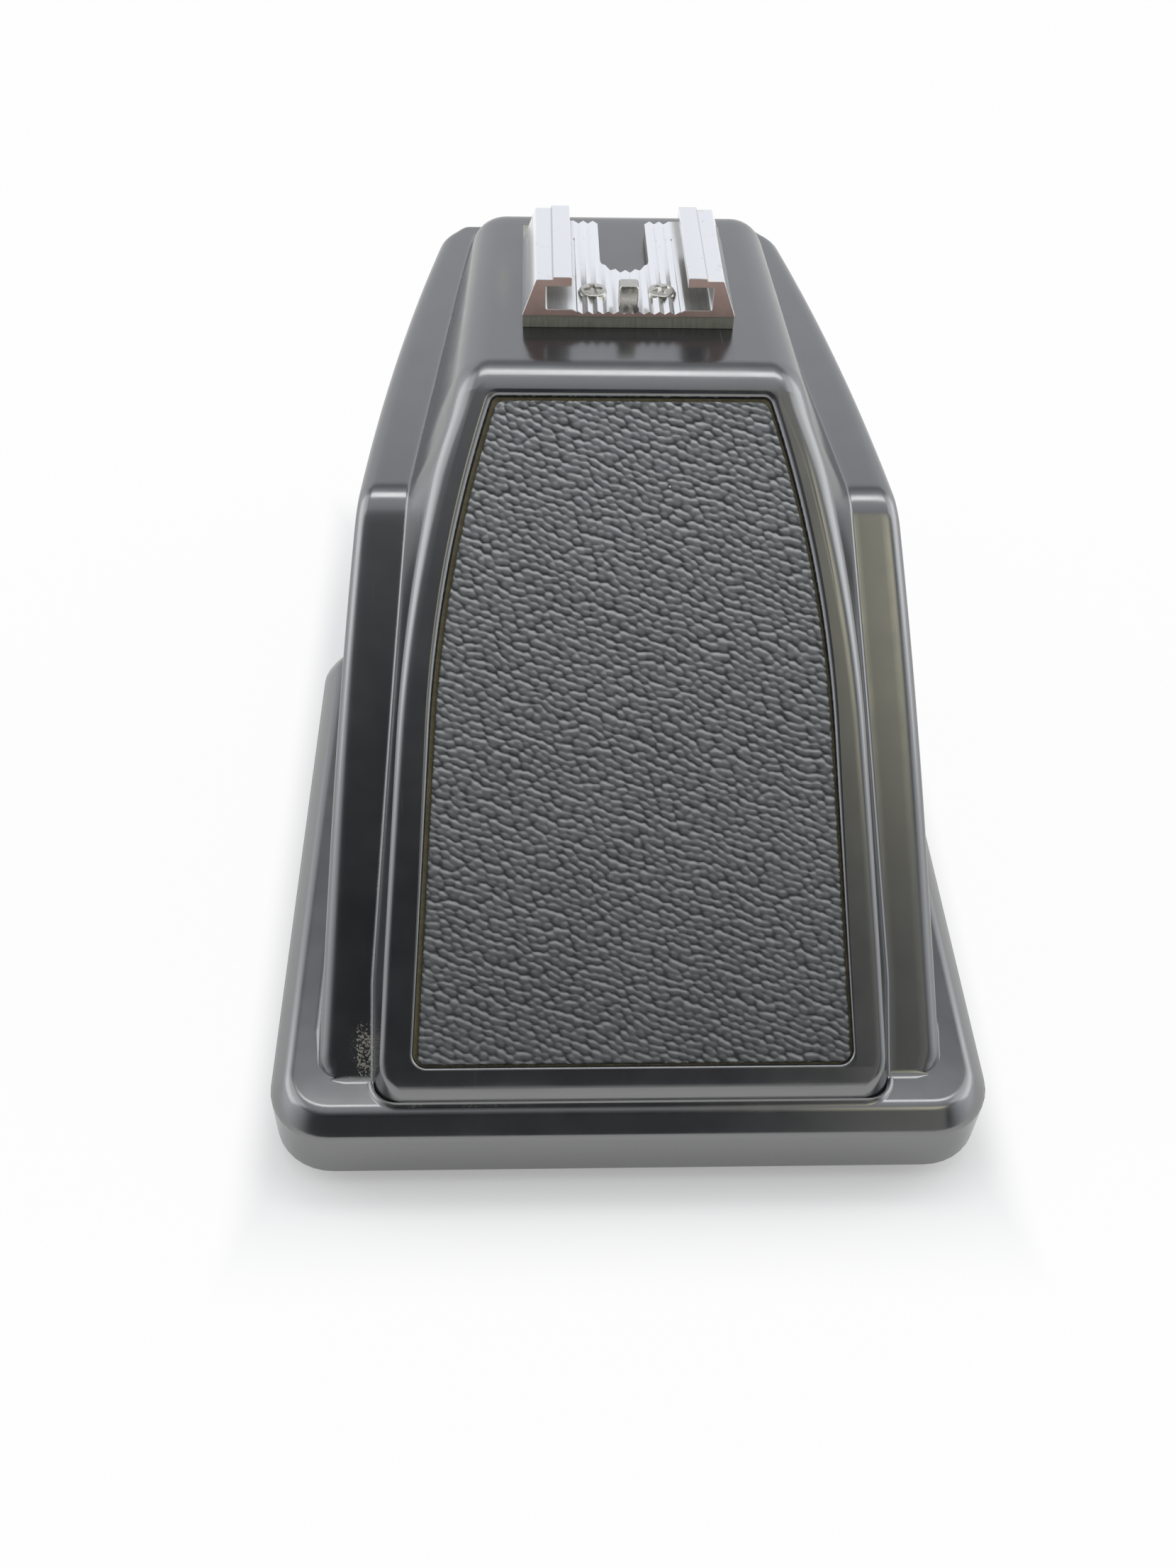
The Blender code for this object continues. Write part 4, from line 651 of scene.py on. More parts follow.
def tier_surfaces():
    """The shoulders and the spine, both sides, from the front wall to the rear edge."""
    stations = shell_stations()
    low_end = PANEL_FOOT - (lip_radius(0.0) - LIP_OVERLAP) * SLOPE_COS
    high_end = PANEL_FOOT + (PANEL_LENGTH + lip_radius(PANEL_LENGTH) - LIP_OVERLAP) * SLOPE_COS
    y = between(stations, SPINE_FRONT, low_end)
    points, traits = half_sections(y, 0.0)
    front_wall = points[:1].copy()
    front_wall[..., 2] = np.minimum(front_wall[..., 2], WALL_FOOT)
    rubbed_and_crown_sheen = FRONT_WEAR * np.exp(-((y - SPINE_FRONT - FRONT_WEAR_INSET) / FRONT_WEAR_WIDTH) ** 2)
    wear = np.maximum(traits["wear"], rubbed_and_crown_sheen[:, None] * (points[..., 2] > FLANGE_TOP + FRONT_WEAR_RISE))
    wear = np.concatenate((np.zeros_like(wear[:1]), wear))
    made = [sheet(np.concatenate((front_wall, points)), wear=wear, dust=traits["dust"])]
    y = between(stations, low_end, high_end)
    along = np.clip((y - PANEL_FOOT) / SLOPE_COS, 0.0, PANEL_LENGTH)
    points, traits = half_sections(y, panel_half_width(along) + lip_radius(along) - LIP_OVERLAP)
    made.append(sheet(points, **traits))
    points, traits = half_sections(between(stations, high_end, TUNNEL_FRONT), 0.0)
    made.append(sheet(points, **traits))
    rear_step = np.stack((points[-1:, 0], points[-1:, 0] * np.array((0.0, 1.0, 1.0))), axis=1)
    raised = rear_step.copy()
    raised[..., 2] = TUNNEL_BOTTOM + TUNNEL_EDGE
    made.append(sheet(np.concatenate((rear_step, raised)), flip=True))
    y = between(stations, TUNNEL_FRONT, HOUSING_DEPTH)
    points, traits = half_sections(y, 0.0, bottom=TUNNEL_BOTTOM, floored=True)
    made.append(sheet(points, **traits))
    made.append(eye_wall(points[-1], HOUSING_DEPTH))
    return both_sides(made)


def eye_wall(section, y, flip=False):
    """Half of an upright wall between a section's outline and the round eyepiece hole."""
    outer = section[:, (0, 2)]
    turn = np.arctan2(outer[:, 1] - EYE_AXIS, outer[:, 0])
    inner = np.stack((EYE_HOLE * np.cos(turn), EYE_AXIS + EYE_HOLE * np.sin(turn)), axis=-1)
    border = outer + EYE_WALL_BORDER * (inner - outer)
    return sheet(at_depth(np.stack((outer, border, inner)), y), flip=flip)


def square_ring(inset):
    """The flange's rounded-square outline at each inset, anticlockwise from the front left corner.

    Each quarter arc is followed by the two ends of the bay in the middle of the next side.
    """
    inset = np.asarray(inset, float)[:, None]
    radius = np.maximum(FLANGE_CORNER - inset, LEAST_CORNER)
    half = FLANGE_HALF_WIDTH - inset
    reach = half - radius
    front = inset + radius
    rear = FLANGE_DEPTH - inset - radius
    middle = FLANGE_DEPTH / 2
    quarter = np.linspace(0.0, QUARTER, ARC_STEPS + 1)
    bay = np.array((-BUTTON_BAY, BUTTON_BAY)) + 0 * inset
    level = 0 * bay
    x = []
    y = []
    for centre_x, centre_y, start, bay_x, bay_y in (
            (-reach, front, math.pi, bay, level + inset),
            (reach, front, 3 * QUARTER, level + half, middle + bay),
            (reach, rear, 0.0, -bay, level + FLANGE_DEPTH - inset),
            (-reach, rear, QUARTER, level - half, middle - bay)):
        x += [centre_x + radius * np.cos(start + quarter), bay_x]
        y += [centre_y + radius * np.sin(start + quarter), bay_y]
    return np.stack((np.concatenate(x, axis=1), np.concatenate(y, axis=1)), axis=-1)


def ring_loft(inset, height):
    """The flange's outline at a list of insets and heights."""
    outline = square_ring(inset)
    level = np.broadcast_to(np.asarray(height, float)[:, None], outline.shape[:2])
    return np.concatenate((outline, level[..., None]), axis=-1)


def open_wall(inset, low, high):
    """An upright wall on the flange's outline, left open at the button's bay."""
    wall = ring_loft((inset, inset), (low, high))
    return np.roll(wall, -(REAR_BAY + 1), axis=1)


def pierced_bay(y, low, high, flip=False):
    """The middle of the flange's rear wall, between its border and the button's slot.

    Both outlines are polar: the border is a rectangle, and the slot has straight sides and round ends.
    """
    half_width = BUTTON_HALF_WIDTH + BUTTON_GAP
    half_height = BUTTON_HALF_HEIGHT + BUTTON_GAP
    sides = (-BUTTON_BAY, BUTTON_BAY)
    border_corners = [math.atan2(z - BUTTON_Z, x) for x in sides for z in (low, high)]
    even = np.linspace(-math.pi, math.pi, SLOT_STEPS, endpoint=False)
    turn = np.unique(np.concatenate((even, border_corners)))
    cosine = np.cos(turn)
    sine = np.sin(turn)
    across = np.maximum(np.abs(cosine), TINY)
    up = np.maximum(np.abs(sine), TINY)
    border = np.minimum(BUTTON_BAY / across, np.where(sine > 0, high - BUTTON_Z, BUTTON_Z - low) / up)
    flat = half_width - half_height
    straight = half_height / up
    round_end = flat * np.abs(cosine) + np.sqrt(np.maximum(half_height ** 2 - (flat * sine) ** 2, 0.0))
    slot = np.where(straight * np.abs(cosine) <= flat, straight, round_end)
    reach = np.stack((border, slot))
    wall = np.stack((reach * cosine, np.full(reach.shape, y), BUTTON_Z + reach * sine), axis=-1)
    if flip:
        return [sheet(wall, around=True, flip=True)]
    throat = np.stack((wall[1], wall[1] - np.array((0.0, WALL, 0.0))))
    return [sheet(wall, around=True), sheet(throat, around=True)]


def flange_surfaces():
    """The flange: lower rim, upright wall with the button's bay, rolled edge and ledge.

    The edge rises over a shallow arc from a crease, then over a tighter roll into the level ledge.
    """
    quarter = np.linspace(0.0, QUARTER, ARC_STEPS + 1)
    lower = FLANGE_LOWER_EDGE
    rim_inset = np.concatenate(([WALL], lower * (1 - np.sin(quarter))))
    rim_height = np.concatenate(([FLANGE_BOTTOM], FLANGE_BOTTOM + lower * (1 - np.cos(quarter))))
    wall_low = FLANGE_BOTTOM + lower
    wall_high = FLANGE_TOP - FLANGE_CREASE_DROP - FLANGE_CREASE_SOFTNESS
    bevel = np.linspace(FLANGE_CREASE, FLANGE_ROLL_END, BEVEL_STEPS)
    roll = np.linspace(FLANGE_ROLL_END, QUARTER, ARC_STEPS + 1)[1:]
    edge_inset = np.concatenate(([0.0], FLANGE_BEVEL * (math.cos(FLANGE_CREASE) - np.cos(bevel)),
                                 FLANGE_ROLL_REACH - FLANGE_ROLL * np.cos(roll), [LEDGE_REACH]))
    bevel_drop = FLANGE_ROLL_DROP + FLANGE_BEVEL * (math.sin(FLANGE_ROLL_END) - np.sin(bevel))
    edge_height = FLANGE_TOP - np.concatenate(([FLANGE_TOP - wall_high], bevel_drop,
                                               FLANGE_ROLL * (1 - np.sin(roll)), [0.0]))
    edge = ring_loft(edge_inset, edge_height)
    crease = np.exp(-((edge_height - wall_high) / (2 * FLANGE_CREASE_SOFTNESS)) ** 2)[:, None]
    wear = CREASE_WEAR * crease * (edge[..., 0] < FLANGE_CORNER - FLANGE_HALF_WIDTH)
    made = [sheet(ring_loft(rim_inset, rim_height), around=True, flip=True),
            sheet(open_wall(0.0, wall_low, wall_high), flip=True),
            sheet(edge, around=True, flip=True, wear=wear)]
    return made + pierced_bay(FLANGE_DEPTH, wall_low, wall_high)


def cove_surfaces():
    """Small coves where the shoulders' side walls and the spine's front rise from the ledge, and at
    the foot of the shoulders' slope: arcs between the ledge and the rising face. The side walls' and
    the slope's arcs shrink to nothing towards their ends."""
    dust = np.sin(np.linspace(0.0, math.pi, ARC_STEPS + 1))
    y = np.concatenate([np.linspace(*run) for run in SIDE_COVE_RUNS])
    fade = np.clip((y - SIDE_COVE_START) / SIDE_COVE_RISE, 0.0, 1.0)
    fade = fade * np.clip((SIDE_COVE_END - y) / SIDE_COVE_FALL, 0.0, 1.0)
    foot = shoulder_half_width(y, FLANGE_TOP) - shoulder_corner_drop(y)
    corner = np.stack((foot, np.full(y.shape, FLANGE_TOP)), axis=-1)
    out = corner + COVE_ARM * np.array((1.0, 0.0))
    up = corner + COVE_ARM * np.array((-SHOULDER_DRAFT, 1.0))
    arc = rounded_corner(out, corner, up, SIDE_COVE * fade, ARC_STEPS) + COVE_LIFT
    made = [sheet(at_depth(arc, y), dust=dust)]

    turn = np.linspace(0.0, QUARTER, COVE_STEPS)
    straight = SPINE_BASE_HALF_WIDTH - SPINE_CORNER
    plan_x = np.concatenate(([0.0], straight + SPINE_CORNER * np.sin(turn)))
    plan_y = np.concatenate(([SPINE_FRONT], SPINE_FRONT + SPINE_CORNER * (1 - np.cos(turn))))
    normal_x = np.concatenate(([0.0], np.sin(turn)))
    normal_y = np.concatenate(([-1.0], -np.cos(turn)))
    sweep = np.linspace(0.0, QUARTER, ARC_STEPS + 1)
    out = SPINE_COVE * (1 - np.sin(sweep)) + COVE_LIFT
    rise = SPINE_COVE * (1 - np.cos(sweep)) + COVE_LIFT
    cove_x = plan_x[:, None] + normal_x[:, None] * out
    cove_y = plan_y[:, None] + normal_y[:, None] * out
    made.append(sheet(np.stack((cove_x, cove_y, ledge_height(cove_y) + rise), axis=-1), dust=dust))

    across = np.linspace(FOOT_COVE_START, FOOT_COVE_END, ARC_STEPS + 1)
    size = FOOT_COVE * np.clip((FOOT_COVE_END - across) / FOOT_COVE_FADE, 0.0, 1.0)
    corner = np.broadcast_to(np.array((SHOULDER_FOOT, FLANGE_TOP)), (len(across), 2))
    ahead = corner - COVE_ARM * np.array((1.0, 0.0))
    behind = corner + COVE_ARM * np.array((SLOPE_COS, SLOPE_SIN))
    arc = rounded_corner(ahead, corner, behind, size, ARC_STEPS) + COVE_LIFT
    width = np.broadcast_to(across[:, None], arc.shape[:2])
    made.append(sheet(np.concatenate((width[..., None], arc), axis=-1), dust=dust))
    return both_sides(made)


def on_slope(x, along, out):
    """Points given across, up the slope from the panel's foot and out from its surface."""
    y = PANEL_FOOT + along * SLOPE_COS - out * SLOPE_SIN
    z = SPINE_RAMP + SLOPE * PANEL_FOOT + along * SLOPE_SIN + out * SLOPE_COS
    return np.stack(np.broadcast_arrays(x, y, z), axis=-1)


def panel_outline():
    """The recess's outline on the slope with its outward normals, anticlockwise from the foot."""
    side_along = np.linspace(0.0, PANEL_LENGTH, PANEL_SIDE_STEPS)
    side = np.stack((panel_half_width(side_along), side_along), axis=-1)
    reach = PANEL_CORNER_REACH
    middle_foot = np.array((0.0, 0.0))
    middle_head = np.array((0.0, PANEL_LENGTH))
    foot = rounded_corner(middle_foot, side[0], side[reach], PANEL_LOW_CORNER, PANEL_CORNER_STEPS)
    head = rounded_corner(side[-reach], side[-1], middle_head, PANEL_HIGH_CORNER, PANEL_CORNER_STEPS)
    clear = (side_along > foot[-1, 1] + PANEL_CORNER_GAP) & (side_along < head[0, 1] - PANEL_CORNER_GAP)
    right = np.concatenate((foot, side[clear], head))
    outline = np.concatenate((right, right[::-1] * np.array((-1.0, 1.0))))
    back = outline - np.roll(outline, 1, axis=0)
    front = np.roll(outline, -1, axis=0) - outline
    ahead = unit(back) + unit(front)
    return outline, unit(np.stack((ahead[:, 1], -ahead[:, 0]), axis=-1))


def recess_surfaces():
    """The panel's recess: a flat apron, the rolled lip, the upright wall and the floor."""
    outline, normal = panel_outline()
    roll = lip_radius(outline[:, 1])
    flat = np.zeros_like(roll)
    turn = np.linspace(0.0, QUARTER, ARC_STEPS + 1)[:, None]
    apron = np.stack((LIP_APRON + roll, LIP_APRON / 2 + roll))
    reach = np.concatenate((apron, roll * (1 - np.sin(turn)),
                            np.stack((flat, flat, flat - RECESS_FLOOR_REACH))))
    floor = flat - PANEL_RECESS
    out = np.concatenate((np.stack((flat, flat)), -roll * (1 - np.cos(turn)),
                          np.stack((floor + RECESS_WALL_FOOT, floor, floor))))
    place = outline[None] + normal[None] * reach[..., None]
    points = on_slope(place[..., 0], place[..., 1], out)
    level = points[:APRON_ROWS + 1]
    level[..., 2] = np.minimum(level[..., 2], spine_height(level[..., 1])) - LIP_SINK
    worn = np.concatenate((np.zeros(APRON_ROWS), np.sin(2 * turn[:, 0]), np.zeros(len(RECESS_DUST))))
    dust = np.concatenate((np.zeros(APRON_ROWS + ARC_STEPS + 1), RECESS_DUST))
    wear = worn[:, None] * (outline[:, 1] < FOOT_WEAR)
    ring = sheet(points, around=True, flip=True, wear=wear, dust=dust[:, None])
    margin = RECESS_FLOOR_MARGIN
    along = np.linspace(margin, PANEL_LENGTH - margin, RECESS_FLOOR_ROWS)[:, None]
    across = np.array((-1.0, 0.0, 1.0)) * (panel_half_width(along) - margin)
    return [ring, sheet(on_slope(across, along, -PANEL_RECESS - LIP_SINK), flip=True)]


def lining_surfaces():
    """The inside of the shell, a wall's thickness in: tunnel, spine, flange and rear wall."""
    stations = shell_stations()
    rear = HOUSING_DEPTH - WALL
    ledge = FLANGE_TOP - WALL
    y = between(stations, SHOULDER_FOOT + WALL, TUNNEL_FRONT - WALL)
    made = [sheet(half_sections(y, 0.0, WALL, bottom=ledge)[0], flip=True)]
    y = between(stations, TUNNEL_FRONT - WALL, rear)
    points = half_sections(y, 0.0, WALL, bottom=TUNNEL_BOTTOM + WALL, floored=True)[0]
    made.append(sheet(points, flip=True))
    made.append(eye_wall(points[-1], rear, flip=True))
    made = both_sides(made)
    made.append(sheet(ring_loft((WALL, LEDGE_REACH + WALL), (ledge, ledge)), around=True))
    made.append(sheet(open_wall(WALL, FLANGE_BOTTOM, ledge)))
    made += pierced_bay(FLANGE_DEPTH - WALL, FLANGE_BOTTOM, ledge, flip=True)
    return made + turned(np.array(((EYE_HOLE, 0.0), (EYE_HOLE, -WALL))), HOUSING_DEPTH)


# Leatherette panel

def scattered(cell_x, cell_y, seed):
    """A repeatable value from 0 to 1 for each whole cell, from a sine with a large factor."""
    factor_x, factor_y, factor_seed = SCATTER_FACTORS
    value = np.sin(cell_x * factor_x + cell_y * factor_y + seed * factor_seed) * SCATTER_GAIN
    return value - np.floor(value)


def smooth_noise(x, y, seed):
    """Value noise: scattered cell values blended with an eased weight across each cell."""
    cell_x = np.floor(x)
    cell_y = np.floor(y)
    share_x = smooth_step(x - cell_x)
    share_y = smooth_step(y - cell_y)
    low = scattered(cell_x, cell_y, seed) * (1 - share_x)
    low = low + scattered(cell_x + 1, cell_y, seed) * share_x
    high = scattered(cell_x, cell_y + 1, seed) * (1 - share_x)
    high = high + scattered(cell_x + 1, cell_y + 1, seed) * share_x
    return low * (1 - share_y) + high * share_y


def pebble_grain(x, along):
    """Height of the pressed grain, from about 0 in the creases to 1 on the crests.

    The plane is warped a little, turned along the lean and divided into staggered rows of cells. Each
    cell holds one scattered centre. A soft minimum of the squared distances to the centres near by makes
    rounded hills, and the weighted distance up the row from those centres tilts each hill, so its crest
    lies at its upper edge. Fine pores are added.
    """
    coarse = (x / WARP_SIZE, along / WARP_SIZE)
    warp_x = x + WARP_REACH * (smooth_noise(*coarse, WARP_X_SEED) - 0.5)
    warp_y = along + WARP_REACH * (smooth_noise(*coarse, WARP_Y_SEED) - 0.5)
    run = (warp_x * math.cos(ROW_LEAN) + warp_y * math.sin(ROW_LEAN)) / BUMP_LENGTH
    rise = (warp_y * math.cos(ROW_LEAN) - warp_x * math.sin(ROW_LEAN)) / ROW_SPACING
    row = np.floor(rise)
    total = np.zeros_like(run)
    lean = np.zeros_like(run)
    for step_y in (-1, 0, 1):
        cell_y = row + step_y
        offset = ROW_STAGGER * cell_y
        first_x = np.floor(run - offset)
        for step_x in (-1, 0, 1):
            cell_x = first_x + step_x
            shift_x = BUMP_SCATTER * (scattered(cell_x, cell_y, CENTRE_X_SEED) - 0.5)
            shift_y = BUMP_SCATTER * (scattered(cell_x, cell_y, CENTRE_Y_SEED) - 0.5)
            centre_x = cell_x + offset + 0.5 + shift_x
            centre_y = cell_y + 0.5 + shift_y
            weight = np.exp(-BUMP_FIRMNESS * ((run - centre_x) ** 2 + (rise - centre_y) ** 2))
            total += weight
            lean += weight * (rise - centre_y)
    hill = np.clip(1 + np.log(total) / (BUMP_FIRMNESS * BUMP_REACH), 0.0, 1.0)
    tilt = np.clip(0.5 + TILT_GAIN * lean / total, 0.0, 1.0)
    fine = smooth_noise(x / PORE_SIZE, along / PORE_SIZE, PORE_SEED)
    return HILL_SHARE * hill + TILT_SHARE * tilt + (1 - HILL_SHARE - TILT_SHARE) * fine


def leather_half_width(along):
    """The panel's half-width less the gap, drawn in round its four corners."""
    low = quarter_drop(LEATHER_LOW_GAP + LEATHER_CORNER - along, LEATHER_CORNER)
    high = quarter_drop(along - (PANEL_LENGTH - LEATHER_HIGH_GAP - LEATHER_CORNER), LEATHER_CORNER)
    return panel_half_width(along) - LEATHER_SIDE_GAP - low - high


def leather_surfaces():
    """The pressed sheet: a grained top whose border rolls down, its edges and its flat back.

    Its first trait holds the grain's height, which the material paints as a sheen on the crowns and
    shade in the creases; its second holds the steepness of the flanks that face up the slope, which
    the material paints as a highlight.
    """
    high_end = PANEL_LENGTH - LEATHER_HIGH_GAP
    rows = int((high_end - LEATHER_LOW_GAP) / LEATHER_STEP_ALONG)
    columns = int(2 * PANEL_HALF_WIDTH / LEATHER_STEP_ACROSS)
    along = np.linspace(LEATHER_LOW_GAP, high_end, rows)[:, None]
    across = np.linspace(-1.0, 1.0, columns)[None, :]
    half = leather_half_width(along)
    x = LEATHER_SHIFT + across * half
    end_border = np.minimum(along - LEATHER_LOW_GAP, high_end - along)
    border = np.minimum(half - np.abs(across) * half, end_border)
    roll = quarter_drop(LEATHER_BORDER - border, LEATHER_BORDER) * LEATHER_BORDER_DROP
    grain = pebble_grain(x, along + 0 * x)
    top = on_slope(x, along, LEATHER_TOP - PEBBLE_DEPTH * (1 - grain) - roll)
    back = on_slope(LEATHER_SHIFT + np.concatenate((-half, half), axis=1), along, LEATHER_BOTTOM)
    # Steepness of the flanks that face up the slope; the material paints them pale as a highlight
    flank = np.clip(-np.gradient(grain, LEATHER_STEP_ALONG, axis=0) * FLANK_GAIN, 0.0, 1.0)
    made = [sheet(top, flip=True, wear=grain, dust=flank), sheet(back)]
    for side, column in ((0, 0), (1, -1)):
        edge = np.stack((top[:, column], back[:, side]), axis=1)
        made.append(sheet(edge, flip=side == 1))
    for row in (0, -1):
        ends = np.stack((top[row], on_slope(x[row], along[row], LEATHER_BOTTOM)))
        made.append(sheet(ends, flip=row == -1))
    return made


def glue_surfaces():
    """The line of old adhesive in the gap round the leatherette: low at its edges, rippled by noise."""
    outline, normal = panel_outline()
    ripple_x = outline[:, 0] / GLUE_RIPPLE_SIZE + GLUE_SHIFT
    ripple_y = outline[:, 1] / GLUE_RIPPLE_SIZE
    ripple = GLUE_RIPPLE * (smooth_noise(ripple_x, ripple_y, GLUE_SEED) - 0.5)
    place = outline[None] + normal[None] * np.array(GLUE_REACH)[:, None, None]
    level = np.array(GLUE_LEVEL)[:, None] + ripple
    return [sheet(on_slope(place[..., 0], place[..., 1], level), around=True, flip=True)]


# Accessory shoe

def rail_surfaces():
    """The two rails, each one section carried along y with its ends drawn in by a small bevel.

    The section has a leaning side, a lip with a step along its top, the slot and the channel's floor.
    """
    step = SHOE_HEIGHT - SHOE_LIP_STEP
    corners = [(SHOE_BASE_HALF_WIDTH, 0.0), (SHOE_TOP_HALF_WIDTH, step), (SHOE_LIP_STEP_X, step),
               (SHOE_LIP_STEP_X, SHOE_HEIGHT), (SHOE_LIP_HALF_GAP, SHOE_HEIGHT),
               (SHOE_LIP_HALF_GAP, SHOE_LIP_LOW), (SHOE_SLOT_HALF_WIDTH, SHOE_LIP_LOW),
               (SHOE_SLOT_HALF_WIDTH, SHOE_FLOOR), (RIDGE_HALF_WIDTH + RIDGE_SHOULDER, SHOE_FLOOR),
               (RIDGE_HALF_WIDTH, SHOE_FLOOR - RIDGE_SHOULDER_DROP), (RIDGE_HALF_WIDTH, 0.0)]
    outline = rounded_loop(corners, SHOE_ROUNDING) + np.array((0.0, SHOE_BOTTOM))
    ahead = np.roll(outline, -1, axis=0) - np.roll(outline, 1, axis=0)
    normal = unit(np.stack((ahead[:, 1], -ahead[:, 0]), axis=-1))
    bevel = SHOE_END_BEVEL
    stations = np.array((SHOE_FRONT, SHOE_FRONT + bevel, SHOE_RAIL_REAR - bevel, SHOE_RAIL_REAR))
    inset = np.array((bevel, 0.0, 0.0, bevel))
    section = outline[None] - normal[None] * inset[:, None, None]
    points = at_depth(section, stations)
    return both_sides([sheet(points, around=True), cap(points[0]), cap(points[-1], flip=True)])


def cut_slabs(half_width, setback, rows, top, low):
    """Slabs on both sides of the shoe's cut and in front of its round end; top gives heights for x."""
    cut = SHOE_CUT_HALF_WIDTH
    left = np.linspace(-half_width, -cut, FLOOR_COLUMNS)
    middle = np.linspace(-cut, cut, FLOOR_COLUMNS)
    right = np.linspace(cut, half_width, FLOOR_COLUMNS)
    round_end = SHOE_CUT_FRONT + cut - np.sqrt(np.maximum(cut ** 2 - middle ** 2, 0.0))
    share = np.linspace(0.0, 1.0, rows)[:, None]
    made = []
    for columns, end in ((left, SHOE_REAR), (right, SHOE_REAR), (middle, round_end)):
        x = np.broadcast_to(columns, (rows, FLOOR_COLUMNS))
        y = SHOE_FRONT + setback + share * (end - setback - SHOE_FRONT)
        made += slab(x, y + 0 * x, top(x), low)
    return made


def ridge_height(x):
    """The floor's height under V-shaped ridges that run along y: a folded line of one pitch."""
    phase = x / RIDGE_PITCH
    fold = np.abs(phase - np.floor(phase) - 0.5) * 2
    return SHOE_BOTTOM + SHOE_FLOOR - RIDGE_SINK - RIDGE_HEIGHT * (1 - fold)


def floor_surfaces():
    """The ridged floor as three slabs round the cut, and the plain apron behind the rails."""
    made = cut_slabs(RIDGE_HALF_WIDTH, 0.0, FLOOR_ROWS, ridge_height, SHOE_BOTTOM)
    for side in (-1.0, 1.0):
        edges = np.sort(side * np.array((RIDGE_HALF_WIDTH, SHOE_APRON_HALF_WIDTH)))
        x = np.broadcast_to(edges, (2, 2))
        y = np.broadcast_to(np.array(((SHOE_RAIL_REAR,), (SHOE_REAR,))), (2, 2))
        made += slab(x, y, SHOE_BOTTOM + SHOE_FLOOR - RIDGE_SINK, SHOE_BOTTOM)
    return made


def shim_surfaces():
    """The packing plate under the shoe, three slabs round the shoe's own cut."""
    half_width = SHOE_BASE_HALF_WIDTH - SHIM_SETBACK
    return cut_slabs(half_width, SHIM_SETBACK, SHIM_ROWS, lambda x: SHIM_HIGH, SHIM_LOW)


def cross_head_surfaces(side):
    """A low domed screw head: a polar grid, falling by the square of the radius, that dips under a
    cross of two arms; the dip follows the smaller of the two arms' box distances."""
    rim = np.array(SCREW_RIM)
    crown = np.linspace(0.0, SCREW_CROWN_END, SCREW_RINGS)
    radius = np.concatenate((crown, rim[:, 0]))[:, None] * SCREW_RADIUS
    skirt = np.concatenate((np.zeros(SCREW_RINGS), rim[:, 1]))[:, None]
    turn = np.linspace(0.0, FULL_TURN, SCREW_STEPS, endpoint=False)[None, :]
    across = radius * np.cos(turn)
    up = radius * np.sin(turn)
    lean = SCREW_LEANS[side]
    first = np.abs(across * math.cos(lean) + up * math.sin(lean))
    second = np.abs(up * math.cos(lean) - across * math.sin(lean))
    gap = np.minimum(np.maximum(first / SCREW_ARM_REACH, second / SCREW_ARM),
                     np.maximum(second / SCREW_ARM_REACH, first / SCREW_ARM))
    dip = SCREW_DIP * np.clip((SCREW_DIP_START - gap) / SCREW_DIP_SLOPE, 0.0, 1.0)
    height = SCREW_TOP - SCREW_CROWN * (radius / SCREW_RADIUS) ** 2 - dip - skirt
    points = np.stack((side * SCREW_X + across, SCREW_Y + up, height + 0 * across), axis=-1)
    return [sheet(points, around=True), cap(points[-1], flip=True)]


def stop_surfaces():
    """The square stop: a post with rounded corners whose top edge is drawn in, closed at both ends."""
    loops = []
    for height, inset in ((STOP_LOW, 0.0), (STOP_TOP - STOP_EDGE_DROP, 0.0), (STOP_TOP, STOP_EDGE)):
        x = STOP_HALF_WIDTH - inset
        front = STOP_FRONT + inset
        rear = STOP_REAR - inset
        outline = rounded_loop([(-x, front), (x, front), (x, rear), (-x, rear)], SOFT_EDGE)
        loops.append(np.concatenate((outline, np.full((len(outline), 1), height)), axis=1))
    loops = np.stack(loops)
    return [sheet(loops, around=True), cap(loops[0], flip=True), cap(loops[-1])]


# Catch and eyepiece

def button_surfaces():
    """The release button: a slot-shaped outline carried out through the wall, its face rolled in."""
    turn = np.linspace(0.0, QUARTER, BUTTON_STEPS)
    depth = np.concatenate(([BUTTON_INNER], BUTTON_OUTER - BUTTON_EDGE * (1 - np.sin(turn))))
    inset = np.concatenate(([0.0], BUTTON_EDGE * (1 - np.cos(turn))))
    ring = np.linspace(0.0, FULL_TURN, TURN_STEPS, endpoint=False)
    flat = BUTTON_HALF_WIDTH - BUTTON_HALF_HEIGHT
    shift = np.where(np.cos(ring) >= 0, flat, -flat)
    radius = BUTTON_HALF_HEIGHT - inset[:, None]
    x = shift + radius * np.cos(ring)
    z = BUTTON_Z + radius * np.sin(ring)
    points = np.stack((x, np.broadcast_to(depth[:, None], x.shape), z), axis=-1)
    return [sheet(points, around=True), cap(points[0]), cap(points[-1])]


